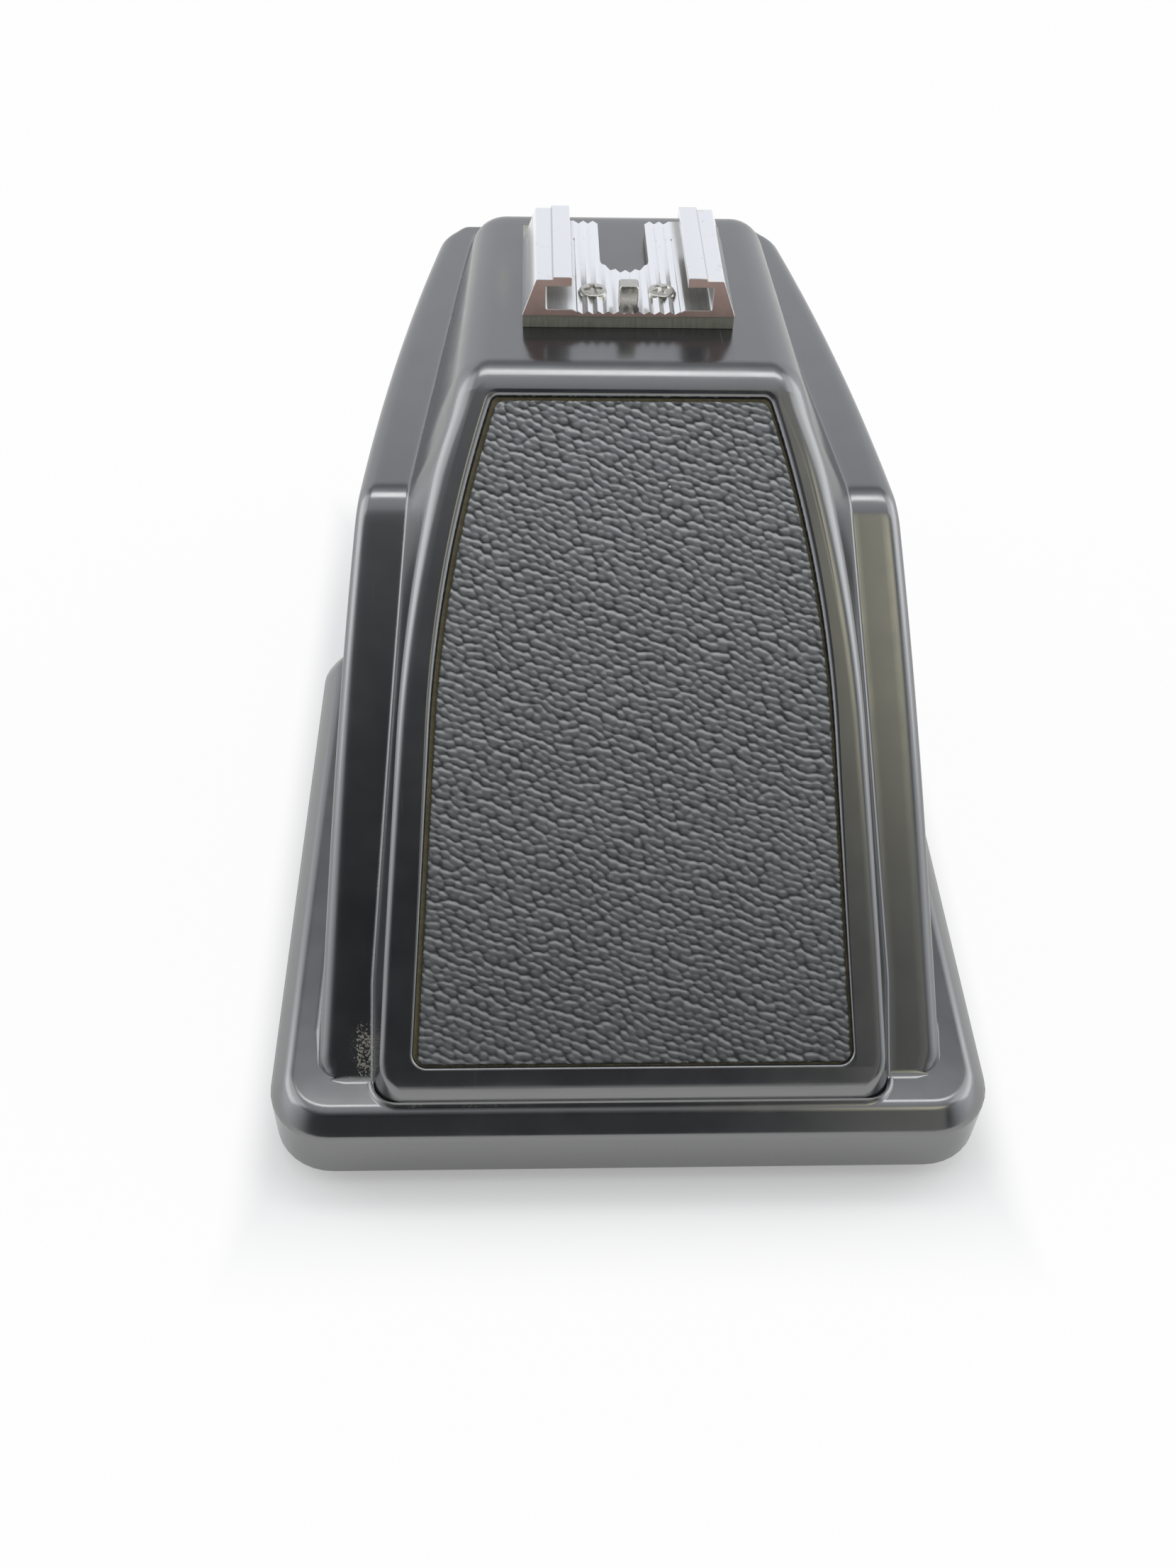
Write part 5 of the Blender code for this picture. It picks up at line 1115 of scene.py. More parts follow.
def coil_surfaces(low, high):
    """A coil spring that fills a box of two corners: a round wire carried along a helix.

    The wire's circle lies across the helix, spanned by the radius outwards and by the tangent crossed
    with it.
    """
    low = np.asarray(low) / MM + np.array((0.0, ORIGIN_SETBACK, 0.0))
    high = np.asarray(high) / MM + np.array((0.0, ORIGIN_SETBACK, 0.0))
    middle = (low + high) / 2
    radius = (high[0] - low[0]) / 2 - SPRING_WIRE
    length = high[1] - low[1] - 2 * SPRING_WIRE
    share = np.linspace(0.0, 1.0, SPRING_TURNS * SPRING_STEPS + 1)
    turn = FULL_TURN * SPRING_TURNS * share
    level = np.zeros_like(turn)
    outward = np.stack((np.cos(turn), level, np.sin(turn)), axis=-1)
    along = np.stack((level, low[1] + SPRING_WIRE + length * share - middle[1], level), axis=-1)
    centre = middle + radius * outward + along
    climb = length / (FULL_TURN * SPRING_TURNS)
    tangent = np.stack((-radius * np.sin(turn), level + climb, radius * np.cos(turn)), axis=-1)
    across = np.cross(unit(tangent), outward)
    ring = np.linspace(0.0, FULL_TURN, SPRING_WIRE_STEPS, endpoint=False)[None, :, None]
    wire = np.cos(ring) * outward[:, None] + np.sin(ring) * across[:, None]
    points = centre[:, None] + SPRING_WIRE * wire
    return [sheet(points, around=True), cap(points[0]), cap(points[-1], flip=True)]


def lens_surfaces():
    """The eye lens: two caps that rise by the square of the radius, joined by a ground edge."""
    clear = EYE_LENS_RADIUS - EYE_LENS_MARGIN
    half_edge = EYE_LENS_EDGE / 2
    reach = np.linspace(0.0, 1.0, LENS_STEPS) * clear
    rise = EYE_LENS_BULGE * (1 - (reach / clear) ** 2)
    front = np.stack((reach, -half_edge - rise), axis=-1)
    rear = np.stack((reach, half_edge + rise), axis=-1)[::-1]
    rim = np.array(((EYE_LENS_RADIUS, -half_edge), (EYE_LENS_RADIUS, half_edge)))
    return turned(np.concatenate((front, rim, rear)), EYE_LENS_SEAT)


# Materials; a mix node's colours go in by place, a span is a range of a noise or of metres

COLOUR_A = 6
COLOUR_B = 7
COLOURS = {"output": 2, "data_type": "RGBA"}
EASED = {"interpolation_type": "SMOOTHSTEP"}
NOISE_SPAN = (0.3, 0.7)
HAZE_SPAN = (0.5, 0.8)
FULL_SPAN = (0.0, 1.0)


def linear(code):
    """A colour written as sRGB hex, turned by that standard's curve to the linear values of shaders."""
    parts = np.array([int(code[i:i + 2], 16) for i in (1, 3, 5)]) / 255
    parts = np.where(parts <= 0.04045, parts / 12.92, ((parts + 0.055) / 1.055) ** 2.4)
    return (*parts.tolist(), 1.0)


def per_metre(size):
    """A texture's scale for a feature of a size in millimetres."""
    return 1.0 / (size * MM)


def add_node(tree, kind, inputs=(), output=0, **settings):
    """A node of a kind with its settings and links; gives one of its outputs.

    Inputs go by name or by place. Each is a value, a colour as a hex code or another node's output.
    """
    made = tree.nodes.new("ShaderNode" + kind)
    for key, value in settings.items():
        setattr(made, key, value)
    for key, value in inputs.items() if isinstance(inputs, dict) else enumerate(inputs):
        if isinstance(value, bpy.types.NodeSocket):
            tree.links.new(value, made.inputs[key])
        else:
            made.inputs[key].default_value = linear(value) if isinstance(value, str) else value
    return made.outputs[output]


def new_material(name, fixed):
    """A material with its shader's uniform values, its own add_node and its Object coordinates."""
    material = bpy.data.materials.new(name)
    material.use_nodes = True
    for key, value in fixed.items():
        material.node_tree.nodes["Principled BSDF"].inputs[key].default_value = value
    add = functools.partial(add_node, material.node_tree)
    return material, add, add("TexCoord", output="Object")


def surfaced(material, sockets):
    """The material, with nodes' outputs linked to its shader's sockets."""
    tree = material.node_tree
    for key, value in sockets.items():
        tree.links.new(value, tree.nodes["Principled BSDF"].inputs[key])
    return material


# Enamel: noises are word, size in millimetres, detail and roughness. The scuffs' size is in
# millimetres too; the smudge, the grit and the left span are in metres
ENAMEL_NOISES = (("peel", 1.6, 1.0, 0.4), ("patch", 6.0, 3.0, 0.6), ("speck", 0.55, 4.0, 0.7),
                 ("crumb", 0.24, 1.0, 0.5))
ENAMEL_COLOURS = ("#222326", "#292a2d")
ENAMEL_GLOSS = (0.17, 0.24)
DUST_COLOUR = "#8d8779"
DUST_DULLING = 0.5
SCUFF_COLOUR = "#4a4b4e"
SCUFF_TURN = (0.3, 0.0, 0.5)
SCUFF_SIZE = (0.25, 9.0, 9.0)
SCUFF_SPAN = (0.74, 0.82)
BARE_COLOUR = "#b9b7b2"
BARE_SPAN = (0.6, 0.72)
LEFT_SPAN = (0.012, -0.03)
LEFT_SHARE = (0.35, 1.0)
CREASE_SPAN = (0.2, 0.42)
CREASE_DUST = (0.0, 0.55)
SMUDGE_PLACE = (-0.0142, 0.0165, 0.0668)
SMUDGE_SIZE = (0.0016, 0.011, 0.004)
SMUDGE_REACH = (1.0, 0.1)
SMUDGE_SPAN = (0.15, 0.5)
SMUDGE_DUST = (0.0, 0.3)
GRIT_PLACE = (-0.0294, -0.0554, 0.0142)
GRIT_SIZE = (0.0027, 0.0064, 0.0064)
GRIT_REACH = (1.0, 0.2)
GRIT_HEAP = (0.0, 0.5)
GRIT_SPAN = (0.98, 1.08)
GRIT_DUST = (0.0, 0.75)


def black_stove_enamel():
    """Black stove enamel sprayed on a casting: a satin skin with fine orange peel.

    The eye sees soft, broad reflections, a faint pebbling in them, bare bright metal on the most
    handled edges, grey dust packed in the creases, a smudge beside the shoe, a drift of pale grit at
    the left foot of the spine and a few hairline scuffs.
    """
    material, add, place = new_material("black_stove_enamel", {"IOR": 1.95, "Specular IOR Level": 1.0})
    wear = add("Attribute", output="Fac", attribute_name="wear")
    dust = add("Attribute", output="Fac", attribute_name="dust")
    noise = {}
    for word, size, detail, harshness in ENAMEL_NOISES:
        noise[word] = add("TexNoise", {"Vector": place, "Scale": per_metre(size), "Detail": detail,
                                       "Roughness": harshness})
    stretched = add("Mapping", {"Vector": place, "Rotation": SCUFF_TURN,
                                "Scale": [per_metre(size) for size in SCUFF_SIZE]})
    hair = add("TexNoise", {"Vector": stretched, "Scale": 1.0, "Detail": 1.0})
    scuff = add("MapRange", (hair, *SCUFF_SPAN))
    rub = add("Math", (wear, noise["speck"]), operation="MULTIPLY")
    bare = add("MapRange", (rub, *BARE_SPAN))
    across = add("SeparateXYZ", (place,), "X")
    packed = dust
    for share in (noise["patch"], noise["speck"], add("MapRange", (across, *LEFT_SPAN, *LEFT_SHARE))):
        packed = add("Math", (packed, share), operation="MULTIPLY")
    grey = add("MapRange", (packed, *CREASE_SPAN, *CREASE_DUST))
    beside = add("Mapping", {"Vector": place, "Location": SMUDGE_PLACE, "Scale": SMUDGE_SIZE},
                 vector_type="TEXTURE")
    reach = add("VectorMath", (beside,), "Value", operation="LENGTH")
    settled = add("MapRange", (reach, *SMUDGE_REACH))
    settled = add("Math", (settled, noise["patch"]), operation="MULTIPLY")
    smudge = add("MapRange", (settled, *SMUDGE_SPAN, *SMUDGE_DUST))
    around = add("Mapping", {"Vector": place, "Location": GRIT_PLACE, "Scale": GRIT_SIZE},
                 vector_type="TEXTURE")
    spread = add("VectorMath", (around,), "Value", operation="LENGTH")
    near = add("MapRange", (spread, *GRIT_REACH, *GRIT_HEAP), **EASED)
    heaped = add("Math", (noise["crumb"], near), operation="ADD")
    grit = add("MapRange", (heaped, *GRIT_SPAN, *GRIT_DUST), **EASED)
    for share in (smudge, grit):
        grey = add("Math", (grey, share), operation="MAXIMUM")
    colour = ENAMEL_COLOURS[0]
    for share, tint in ((noise["patch"], ENAMEL_COLOURS[1]), (grey, DUST_COLOUR), (scuff, SCUFF_COLOUR),
                        (bare, BARE_COLOUR)):
        colour = add("Mix", {"Factor": share, COLOUR_A: colour, COLOUR_B: tint}, **COLOURS)
    skin = add("MapRange", (noise["patch"], *NOISE_SPAN, *ENAMEL_GLOSS))
    rough = add("Math", (grey, DUST_DULLING, skin), operation="MULTIPLY_ADD")
    bump = add("Bump", {"Strength": 0.1, "Distance": 0.01 * MM, "Height": noise["peel"]})
    return surfaced(material, {"Base Color": colour, "Metallic": bare, "Roughness": rough,
                               "Normal": bump})


# Leatherette; sizes in millimetres, and the painted head sheen's foot and head in metres
# Crease colours are painted shade and crown colours a painted sheen, both following the grain's height
LEATHER_CREASES = ("#1c1d1e", "#262728")
LEATHER_CROWNS = ("#56585a", "#646668")
LEATHER_GLOSS = (0.5, 0.66)
FINE_PORE = 0.16
PORE_SHARE = 0.4
LEATHER_PATCH = 9.0
TONE_SPAN = (0.45, 0.95)
CROWN_SPAN = (0.3, 0.8)
# Painted highlight on the flanks that face up the slope
FLANK_COLOUR = "#9c9e9e"
# Painted sheen: the colour's gain from the panel's foot to its head
HEAD_SHEEN_SPAN = (0.015, 0.063)
HEAD_SHEEN_GAIN = (0.7, 1.35)
LINT_COLOUR = "#c9c8c4"
LINT_SPACING = 7.0
LINT_SPAN = (0.022, 0.015)


def pressed_leatherette():
    """Vinyl-coated cloth pressed with a pebble grain: matt black, with a painted sheen towards its head.

    The pebbles are in the mesh. The eye sees a painted sheen on each crown, a painted highlight on the
    flanks that face up the slope, painted shade in the creases, a fine pore texture and a few lint
    specks.
    """
    material, add, place = new_material("pressed_leatherette", {"IOR": 1.5, "Specular IOR Level": 0.7})
    pore = add("TexNoise", {"Vector": place, "Scale": per_metre(FINE_PORE), "Detail": 3.0,
                            "Roughness": 0.6})
    patch = add("TexNoise", {"Vector": place, "Scale": per_metre(LEATHER_PATCH), "Detail": 2.0})
    blend = add("Math", (pore, PORE_SHARE, patch), operation="MULTIPLY_ADD")
    tone = add("MapRange", (blend, *TONE_SPAN))
    # Grain height gives a painted sheen on the crowns and painted shade in the creases; flank steepness
    # gives a painted highlight
    crown = add("Attribute", output="Fac", attribute_name="wear")
    flank = add("Attribute", output="Fac", attribute_name="dust")
    rubbed_and_crown_sheen = add("MapRange", (crown, *CROWN_SPAN), **EASED)
    crease, top = [add("Mix", {"Factor": tone, COLOUR_A: dark, COLOUR_B: pale}, **COLOURS)
                   for dark, pale in (LEATHER_CREASES, LEATHER_CROWNS)]
    # Painted sheen: the colour grows paler with height, towards the panel's head
    level = add("SeparateXYZ", (place,), "Z")
    head_sheen = add("MapRange", (level, *HEAD_SHEEN_SPAN, *HEAD_SHEEN_GAIN))
    lint = add("TexVoronoi", {"Vector": place, "Scale": per_metre(LINT_SPACING)}, "Distance")
    colour = crease
    for share, tint, blending in (
            (rubbed_and_crown_sheen, top, "MIX"), (flank, FLANK_COLOUR, "MIX"), (1.0, head_sheen, "MULTIPLY"),
            (add("MapRange", (lint, *LINT_SPAN)), LINT_COLOUR, "MIX")):
        colour = add("Mix", {"Factor": share, COLOUR_A: colour, COLOUR_B: tint}, blend_type=blending,
                     **COLOURS)
    rough = add("MapRange", (pore, *NOISE_SPAN, *LEATHER_GLOSS))
    bump = add("Bump", {"Strength": 0.3, "Distance": 0.03 * MM, "Height": pore})
    return surfaced(material, {"Base Color": colour, "Roughness": rough, "Normal": bump})


# Chrome; sizes in millimetres, and the span of the front face's painted reflection behind the shoe's
# front
DRAW_SIZE = (0.14, 14.0, 0.14)
STAIN_SIZE = 1.6
CHROME_COLOURS = ("#eeeff1", "#f6f6f7")
CHROME_GLOSS = (0.18, 0.26)
GRIME_COLOUR = "#b9ad93"
GRIME_SPAN = (0.62, 0.8)
GRIME_MOST = (0.0, 0.5)
# Painted shade under the lips, in the channels and along the lips' step
CHANNEL_SHADE_COLOUR = "#8f8c84"
# Painted brown reflection on the rails' front end face, which is also less metallic
FRONT_REFLECTION_COLOURS = ("#b08f86", "#cbb3aa")
FRONT_FACE_SPAN = (0.03, 0.01)
FRONT_FACE_DULLING = 0.25
FRONT_FACE_METAL = (1.0, 0.25)
UNDER_START = 0.6
UNDER_LIP_SHADE = 0.4
CHANNEL_EDGE = 0.9
CHANNEL_RUN = 3.5
CHANNEL_START = 0.2
CHANNEL_SHADE = 0.7
SURFACE_MARGIN = 0.03
STEP_LINE = 0.16
STEP_RISE = 0.5
STEP_SHADE = 0.55


def satin_chrome_plate():
    """Satin chrome on drawn brass: bright, with fine draw lines along y and a painted reflection on its
    front end.

    The eye sees near-white strips with soft lines in them, a painted shade line along the lips' step,
    painted shade in the channels below the lips and a brown front end face that is a painted reflection.
    """
    material, add, place = new_material("satin_chrome_plate", {"Metallic": 1.0})
    drawn = add("Mapping", {"Vector": place, "Scale": [per_metre(size) for size in DRAW_SIZE]})
    lines = add("TexNoise", {"Vector": drawn, "Scale": 1.0, "Detail": 3.0})
    stain = add("TexNoise", {"Vector": place, "Scale": per_metre(STAIN_SIZE), "Detail": 4.0,
                             "Roughness": 0.65})
    parts = add("SeparateXYZ", (place,)).node.outputs
    aside = add("Math", (parts["X"],), operation="ABSOLUTE")
    lip = SHOE_BOTTOM + SHOE_LIP_LOW
    start = SHOE_FRONT - ORIGIN_SETBACK
    # Painted shade: darker towards the lips' underside, deeper in the channels behind the front and in a
    # line along the lips' step
    under = add("MapRange", (parts["Z"], (SHOE_BOTTOM + SHOE_FLOOR + UNDER_START) * MM, lip * MM,
                             0.0, UNDER_LIP_SHADE))
    below = add("Math", (parts["Z"], (lip + SURFACE_MARGIN) * MM), operation="LESS_THAN")
    channel_shade = add("MapRange", (aside, RIDGE_HALF_WIDTH * MM, (RIDGE_HALF_WIDTH + CHANNEL_EDGE) * MM,
                              0.0, CHANNEL_SHADE), **EASED)
    within = add("Math", (aside, (SHOE_SLOT_HALF_WIDTH + SURFACE_MARGIN) * MM), operation="LESS_THAN")
    inward = add("MapRange", (parts["Y"], start * MM, (start + CHANNEL_RUN) * MM, CHANNEL_START, 1.0),
                 **EASED)
    for share in (within, inward):
        channel_shade = add("Math", (channel_shade, share), operation="MULTIPLY")
    painted_shade = add("Math", (under, channel_shade), operation="MAXIMUM")
    painted_shade = add("Math", (painted_shade, below), operation="MULTIPLY")
    beside = add("Math", (aside, SHOE_LIP_STEP_X * MM), operation="SUBTRACT")
    beside = add("Math", (beside,), operation="ABSOLUTE")
    line = add("MapRange", (beside, STEP_LINE * MM, 0.0, 0.0, STEP_SHADE), **EASED)
    above = add("Math", (parts["Z"], (lip + STEP_RISE) * MM), operation="GREATER_THAN")
    line = add("Math", (line, above), operation="MULTIPLY")
    painted_shade = add("Math", (painted_shade, line), operation="MAXIMUM")
    # Painted reflection: the rails' front end face turns brown and less metallic
    cut = add("MapRange", (parts["Y"], (start + FRONT_FACE_SPAN[0]) * MM, (start + FRONT_FACE_SPAN[1]) * MM))
    grime = add("MapRange", (stain, *GRIME_SPAN, *GRIME_MOST))
    front_reflection = add("Mix", {"Factor": stain, COLOUR_A: FRONT_REFLECTION_COLOURS[0], COLOUR_B: FRONT_REFLECTION_COLOURS[1]},
               **COLOURS)
    colour = CHROME_COLOURS[0]
    for share, tint in ((lines, CHROME_COLOURS[1]), (grime, GRIME_COLOUR), (painted_shade, CHANNEL_SHADE_COLOUR),
                        (cut, front_reflection)):
        colour = add("Mix", {"Factor": share, COLOUR_A: colour, COLOUR_B: tint}, **COLOURS)
    metal = add("MapRange", (cut, *FULL_SPAN, *FRONT_FACE_METAL))
    rough = add("Math", (cut, FRONT_FACE_DULLING, add("MapRange", (lines, *NOISE_SPAN, *CHROME_GLOSS))),
                operation="MULTIPLY_ADD")
    bump = add("Bump", {"Strength": 0.06, "Distance": 0.005 * MM, "Height": lines})
    return surfaced(material, {"Base Color": colour, "Metallic": metal, "Roughness": rough,
                               "Normal": bump})


def mottled(name, fixed, size, detail, gloss, over=NOISE_SPAN, harshness=0.5, colours=(), relief=(),
            skin=()):
    """A finish from one noise of a size in millimetres, which shifts its colour, gloss and relief.

    A size may be three sizes, along x, y and z. Over is the range of the noise that the gloss follows.
    Relief is a bump's strength and its depth in millimetres. Skin, if given, is the size and detail of
    a second noise that the bump follows instead.
    """
    material, add, place = new_material(name, fixed)
    spot = {"Vector": place, "Detail": detail, "Roughness": harshness}
    if np.ndim(size):
        spot["Vector"] = add("Mapping", {"Vector": place, "Scale": [per_metre(part) for part in size]})
        spot["Scale"] = 1.0
    else:
        spot["Scale"] = per_metre(size)
    mottle = add("TexNoise", spot)
    sockets = {"Roughness": add("MapRange", (mottle, *over, *gloss))}
    if colours:
        dark, pale = colours
        sockets["Base Color"] = add("Mix", {"Factor": mottle, COLOUR_A: dark, COLOUR_B: pale},
                                    **COLOURS)
    if skin:
        mottle = add("TexNoise", {"Vector": place, "Scale": per_metre(skin[0]), "Detail": skin[1]})
    if relief:
        strength, depth = relief
        sockets["Normal"] = add("Bump", {"Strength": strength, "Distance": depth * MM, "Height": mottle})
    return surfaced(material, sockets)


def dulled_packing_metal():
    """Sheared packing metal under the shoe: dull olive grey, with fine upright shear marks."""
    return mottled("dulled_packing_metal", {"IOR": 1.6}, size=(0.3, 2.0, 2.0), detail=3.0,
                   gloss=(0.4, 0.55), colours=("#7d7d70", "#b4b4a6"), relief=(0.3, 0.02))


def turned_steel():
    """Bright turned steel of screws, clips and springs: grey white, a little hazed and stained."""
    return mottled("turned_steel", {"Metallic": 1.0}, size=0.3, detail=4.0, harshness=0.6,
                   gloss=(0.22, 0.42), colours=("#a8a49b", "#dcdbd6"), relief=(0.2, 0.01))


def chemically_blacked_metal():
    """Metal blacked in a bath: dark, dull and slightly brown, with fine machining haze."""
    return mottled("chemically_blacked_metal", {"Metallic": 0.35}, size=0.35, detail=3.0,
                   gloss=(0.42, 0.56), colours=("#19191a", "#262525"), relief=(0.2, 0.02))


def matt_lining_paint():
    """Matt black paint brushed inside the casting to kill stray light: flat and slightly chalky."""
    return mottled("matt_lining_paint", {"Specular IOR Level": 0.3}, size=0.5, detail=3.0,
                   over=FULL_SPAN, gloss=(0.75, 0.9), colours=("#121213", "#1d1d1d"))


def polished_optical_glass():
    """Polished optical glass: clear, with a faint haze of dust in its roughness."""
    fixed = {"IOR": 1.52, "Transmission Weight": 1.0, "Base Color": linear("#f4f8f7")}
    return mottled("polished_optical_glass", fixed, size=3.0, detail=4.0, over=HAZE_SPAN,
                   gloss=(0.01, 0.06))


def silvered_mirror_glass():
    """Front-silvered glass: a clean mirror with faint clouding."""
    return mottled("silvered_mirror_glass", {"Metallic": 1.0}, size=8.0, detail=4.0, over=HAZE_SPAN,
                   gloss=(0.02, 0.07), colours=("#dfe3e4", "#eef0f0"))


def moulded_rubber():
    """Moulded black rubber: dull, with a fine moulding texture and a grey bloom."""
    fixed = {"IOR": 1.52, "Specular IOR Level": 0.35}
    return mottled("moulded_rubber", fixed, size=5.0, detail=3.0, gloss=(0.6, 0.75),
                   colours=("#1a1a1b", "#2a2a2a"), relief=(0.25, 0.03), skin=(0.3, 2.0))


def aged_adhesive():
    """Old contact adhesive squeezed out round the panel: olive brown, half shiny and uneven."""
    return mottled("aged_adhesive", {"IOR": 1.48}, size=0.5, detail=4.0, harshness=0.65,
                   gloss=(0.3, 0.55), colours=("#3a3528", "#8f8766"), relief=(0.5, 0.08))


# Table, metres
TABLE_HALF_WIDTH = 3.0
TABLE_GLOW = (0.3, 0.96)
TABLE_GLOW_SPAN = (0.0, 0.015)
FOOTPRINT_HALF_WIDTH = FLANGE_HALF_WIDTH * MM
FOOTPRINT_FRONT = -ORIGIN_SETBACK * MM
FOOTPRINT_REAR = (HOUSING_DEPTH - ORIGIN_SETBACK) * MM
SIDE_HASTE = 2.5
BACKDROP_TINT = "#fefefe"


def white_laminate():
    """White table laminate: a plain, faintly uneven white that takes a soft shadow.

    To the camera and in reflections part of it is plain white, more so away from the object, so the
    background stays pale and the shadow stays close.
    """
    material = mottled("white_laminate", {"Specular IOR Level": 0.2}, size=160.0, detail=2.0,
                       over=FULL_SPAN, gloss=(0.5, 0.6), colours=("#f3f2f1", "#f8f8f8"))
    tree = material.node_tree
    add = functools.partial(add_node, tree)
    parts = add("SeparateXYZ", (add("TexCoord", output="Object"),)).node.outputs
    aside = add("Math", (parts["X"],), operation="ABSOLUTE")
    aside = add("Math", (aside, SIDE_HASTE, -SIDE_HASTE * FOOTPRINT_HALF_WIDTH),
                operation="MULTIPLY_ADD")
    before = add("Math", (FOOTPRINT_FRONT, parts["Y"]), operation="SUBTRACT")
    beyond = add("Math", (parts["Y"], FOOTPRINT_REAR), operation="SUBTRACT")
    ray = add("LightPath").node.outputs
    apart = aside
    for distance in (before, beyond):
        apart = add("Math", (apart, distance), operation="MAXIMUM")
    seen = ray["Is Camera Ray"]
    for kind in ("Is Glossy Ray", "Is Transmission Ray"):
        seen = add("Math", (seen, ray[kind]), operation="MAXIMUM")
    white = add("MapRange", (apart, *TABLE_GLOW_SPAN, *TABLE_GLOW), **EASED)
    share = add("Math", (seen, white), operation="MULTIPLY")
    glow = add("Emission", {"Color": BACKDROP_TINT, "Strength": 1.0})
    mixed = add("MixShader", (share, tree.nodes["Principled BSDF"].outputs["BSDF"], glow))
    tree.links.new(mixed, tree.nodes["Material Output"].inputs["Surface"])
    return material


ENAMEL = black_stove_enamel()
LEATHER = pressed_leatherette()
CHROME = satin_chrome_plate()
PACKING = dulled_packing_metal()
STEEL = turned_steel()
BLACKED = chemically_blacked_metal()
LINING = matt_lining_paint()
GLASS = polished_optical_glass()
MIRROR = silvered_mirror_glass()
RUBBER = moulded_rubber()
GLUE = aged_adhesive()

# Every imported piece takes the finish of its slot
FINISH = {"black_enamel": ENAMEL, "black_leatherette": LEATHER, "satin_chrome": CHROME, "steel": STEEL,
          "blackened_metal": BLACKED, "glass": GLASS, "silvered_glass": MIRROR, "black_rubber": RUBBER}
for row in frame["record"]["subparts"]:
    packed_mesh = frame["nodes"][row["node"]].data
    packed_mesh.materials.clear()
    packed_mesh.materials.append(FINISH[row["material_slot"]])

# Pieces
piece("housing_shell", tier_surfaces() + flange_surfaces() + cove_surfaces() + recess_surfaces(), ENAMEL,
      ["upper_housing"])
piece("housing_lining", lining_surfaces(), LINING)
piece("leatherette_panel", leather_surfaces(), LEATHER, ["front_leatherette"])
piece("panel_glue_line", glue_surfaces(), GLUE)
piece("shoe_rails_and_floor", rail_surfaces() + floor_surfaces(), CHROME, ["shoe_rail"],
      recalculate=True)
piece("shoe_packing_plate", shim_surfaces(), PACKING, ["shoe_shim"], recalculate=True)
for side, word in ((-1.0, "left"), (1.0, "right")):
    piece("shoe_screw_head_" + word, cross_head_surfaces(side), STEEL, ["shoe_screw_" + word],
          recalculate=True)
piece("shoe_stop_post", stop_surfaces(), STEEL, ["shoe_stop_pin"], recalculate=True)
piece("release_button_face", button_surfaces(), CHROME, ["release_button"],
      "release_catch", recalculate=True)
for word in ("left", "right"):
    low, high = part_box("latch_spring_" + word)
    coil = piece("latch_coil_" + word, coil_surfaces(low, high), STEEL,
                 ["latch_spring_" + word], None, recalculate=True)
    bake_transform(coil)
piece("rubber_eyecup", turned_section(EYECUP_SECTION, EYECUP_SEAT, EYECUP_ROUNDING), RUBBER,
      ["eyecup"], recalculate=True)
piece("eyepiece_tube", turned_section(BARREL_SECTION, BARREL_SEAT), BLACKED,
      ["eyepiece_barrel"], recalculate=True)
piece("eyepiece_ring", turned_section(RETAINER_SECTION, RETAINER_SEAT), BLACKED,
      ["eyepiece_retaining_ring"], recalculate=True)
piece("eye_lens", lens_surfaces(), GLASS, ["eyepiece_rear_lens"], recalculate=True)


# Floor, light and camera

def table_top():
    """A wide flat table at z = 0."""
    half = TABLE_HALF_WIDTH
    corners = [(-half, -half, 0), (half, -half, 0), (half, half, 0), (-half, half, 0)]
    mesh = bpy.data.meshes.new("table_top")
    mesh.from_pydata(corners, [], [(0, 1, 2, 3)])
    mesh.materials.append(white_laminate())
    item = bpy.data.objects.new("table_top", mesh)
    bpy.context.scene.collection.objects.link(item)


# Lamps: name, place and size in metres, and power in watts
LAMPS = (("overhead_soft_box", (0.05, 0.34, 1.15), (1.0, 0.22), 2.2),
         ("left_soft_box", (-1.1, 0.2, 0.85), (1.1, 1.1), 4.2),
         ("right_soft_box", (1.1, 0.2, 0.85), (1.1, 1.1), 4.2))
LAMP_AIM = (0.0, 0.0, 0.03)


def soft_lamp(name, place, size, power):
    """A rectangular soft box that faces a point on the object."""
    lamp = bpy.data.lights.new(name, "AREA")
    lamp.shape = "RECTANGLE"
    lamp.size = size[0]
    lamp.size_y = size[1]
    lamp.energy = power
    item = bpy.data.objects.new(name, lamp)
    ahead = np.array(LAMP_AIM) - np.array(place)
    yaw = math.atan2(ahead[1], ahead[0]) - QUARTER
    pitch = math.atan2(math.hypot(ahead[0], ahead[1]), -ahead[2])
    item.location = place
    item.rotation_euler = (pitch, 0.0, yaw)
    bpy.context.scene.collection.objects.link(item)


# Room: eased steps of a direction's part as word, part, start, end, first value and last value
ROOM_TINT = "#f0f3f8"
WINDOW_TINT = "#efecd2"
ROOM_STEPS = (("walls", "Z", 0.54, 0.68, 1.02, 0.35), ("ceiling", "Z", 0.68, 0.97, 0.0, 0.55),
              ("shade", "Y", -0.75, -0.05, 0.07, 1.0), ("sides", "aside", 0.55, 0.85, 0.0, 0.5),
              ("window", "X", 0.20, 0.25, 0.0, 2.0), ("window_end", "X", 0.50, 0.60, 1.0, 0.0),
              ("window_ahead", "Y", -0.45, -0.30, 1.0, 0.0), ("window_rise", "Z", 0.66, 0.82, 0.2, 1.0))


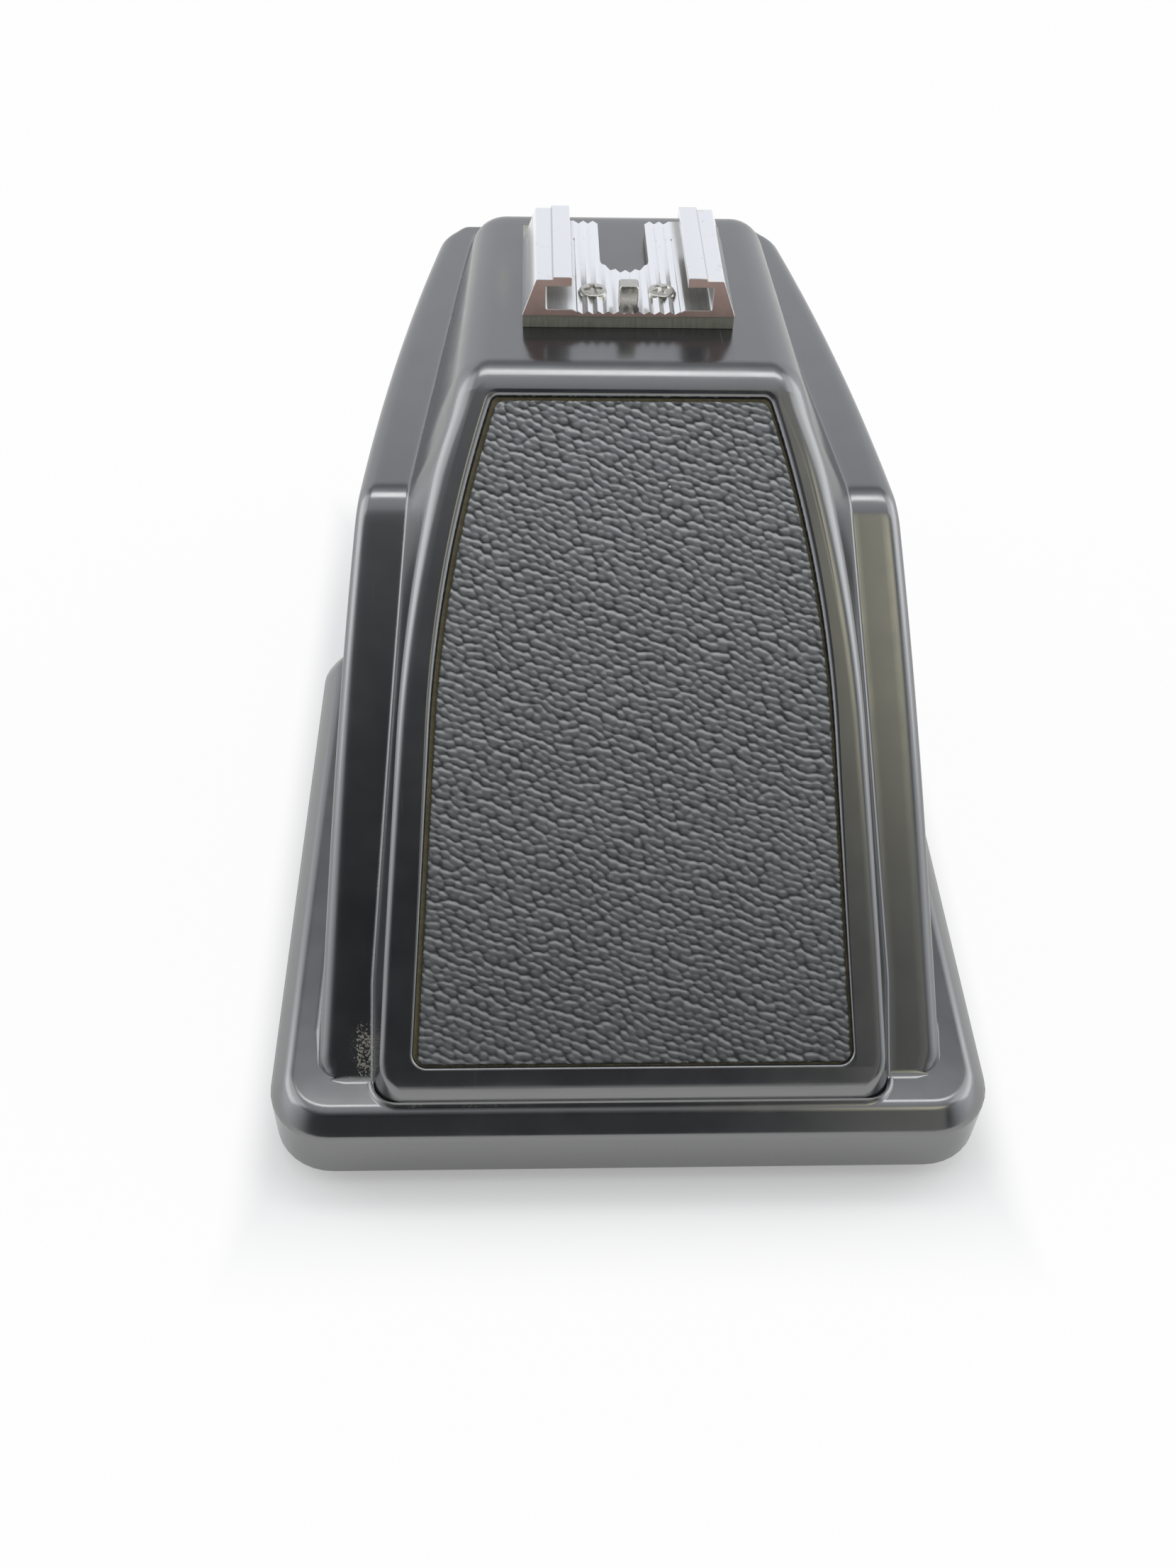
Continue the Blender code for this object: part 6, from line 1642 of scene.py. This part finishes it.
def room_light():
    """A pale room: bright walls, a dimmer band above them, a bright ceiling and shade at the camera.

    The strength follows the sine of the elevation in two eased steps. An eased factor of the direction
    along y shades the camera's side, the side walls add their own light with the direction along x,
    and one warm window is a product of eased steps across, ahead and up. The camera itself sees a
    plain pale backdrop.
    """
    world = bpy.data.worlds.new("pale_room")
    world.use_nodes = True
    bpy.context.scene.world = world
    tree = world.node_tree
    add = functools.partial(add_node, tree)
    parts = dict(add("SeparateXYZ", (add("TexCoord", output="Generated"),)).node.outputs.items())
    parts["aside"] = add("Math", (parts["X"],), operation="ABSOLUTE")
    light = {}
    for word, part, *span in ROOM_STEPS:
        light[word] = add("MapRange", (parts[part], *span), **EASED)
    height = add("Math", (light["walls"], light["ceiling"]), operation="ADD")
    room = add("Math", (height, light["shade"], light["sides"]), operation="MULTIPLY_ADD")
    window = light["window"]
    for word in ("window_end", "window_ahead", "window_rise"):
        window = add("Math", (window, light[word]), operation="MULTIPLY")
    strength = add("Math", (room, window), operation="ADD")
    tint = add("Mix", {"Factor": window, COLOUR_A: ROOM_TINT, COLOUR_B: WINDOW_TINT},
               clamp_factor=True, **COLOURS)
    around = tree.nodes["Background"]
    tree.links.new(tint, around.inputs["Color"])
    tree.links.new(strength, around.inputs["Strength"])
    backdrop = add("Background", {"Color": BACKDROP_TINT, "Strength": 1.0})
    seen = add("LightPath", output="Is Camera Ray")
    mixed = add("MixShader", (seen, around.outputs["Background"], backdrop))
    tree.links.new(mixed, tree.nodes["World Output"].inputs["Surface"])


def photograph_camera():
    """The camera at the photograph's place, turned a little on its upright axis and tilted down."""
    camera = bpy.data.cameras.new("photograph_camera")
    camera.lens = CAMERA_LENS
    camera.sensor_width = CAMERA_SENSOR
    camera.clip_start = CAMERA_NEAR
    item = bpy.data.objects.new("photograph_camera", camera)
    item.location = CAMERA_PLACE
    item.rotation_mode = "YXZ"
    item.rotation_euler = (CAMERA_TILT, CAMERA_TURN, CAMERA_YAW)
    bpy.context.scene.collection.objects.link(item)
    bpy.context.scene.camera = item


table_top()
room_light()
for lamp_row in LAMPS:
    soft_lamp(*lamp_row)
photograph_camera()
bpy.context.scene.view_settings.view_transform = "Standard"
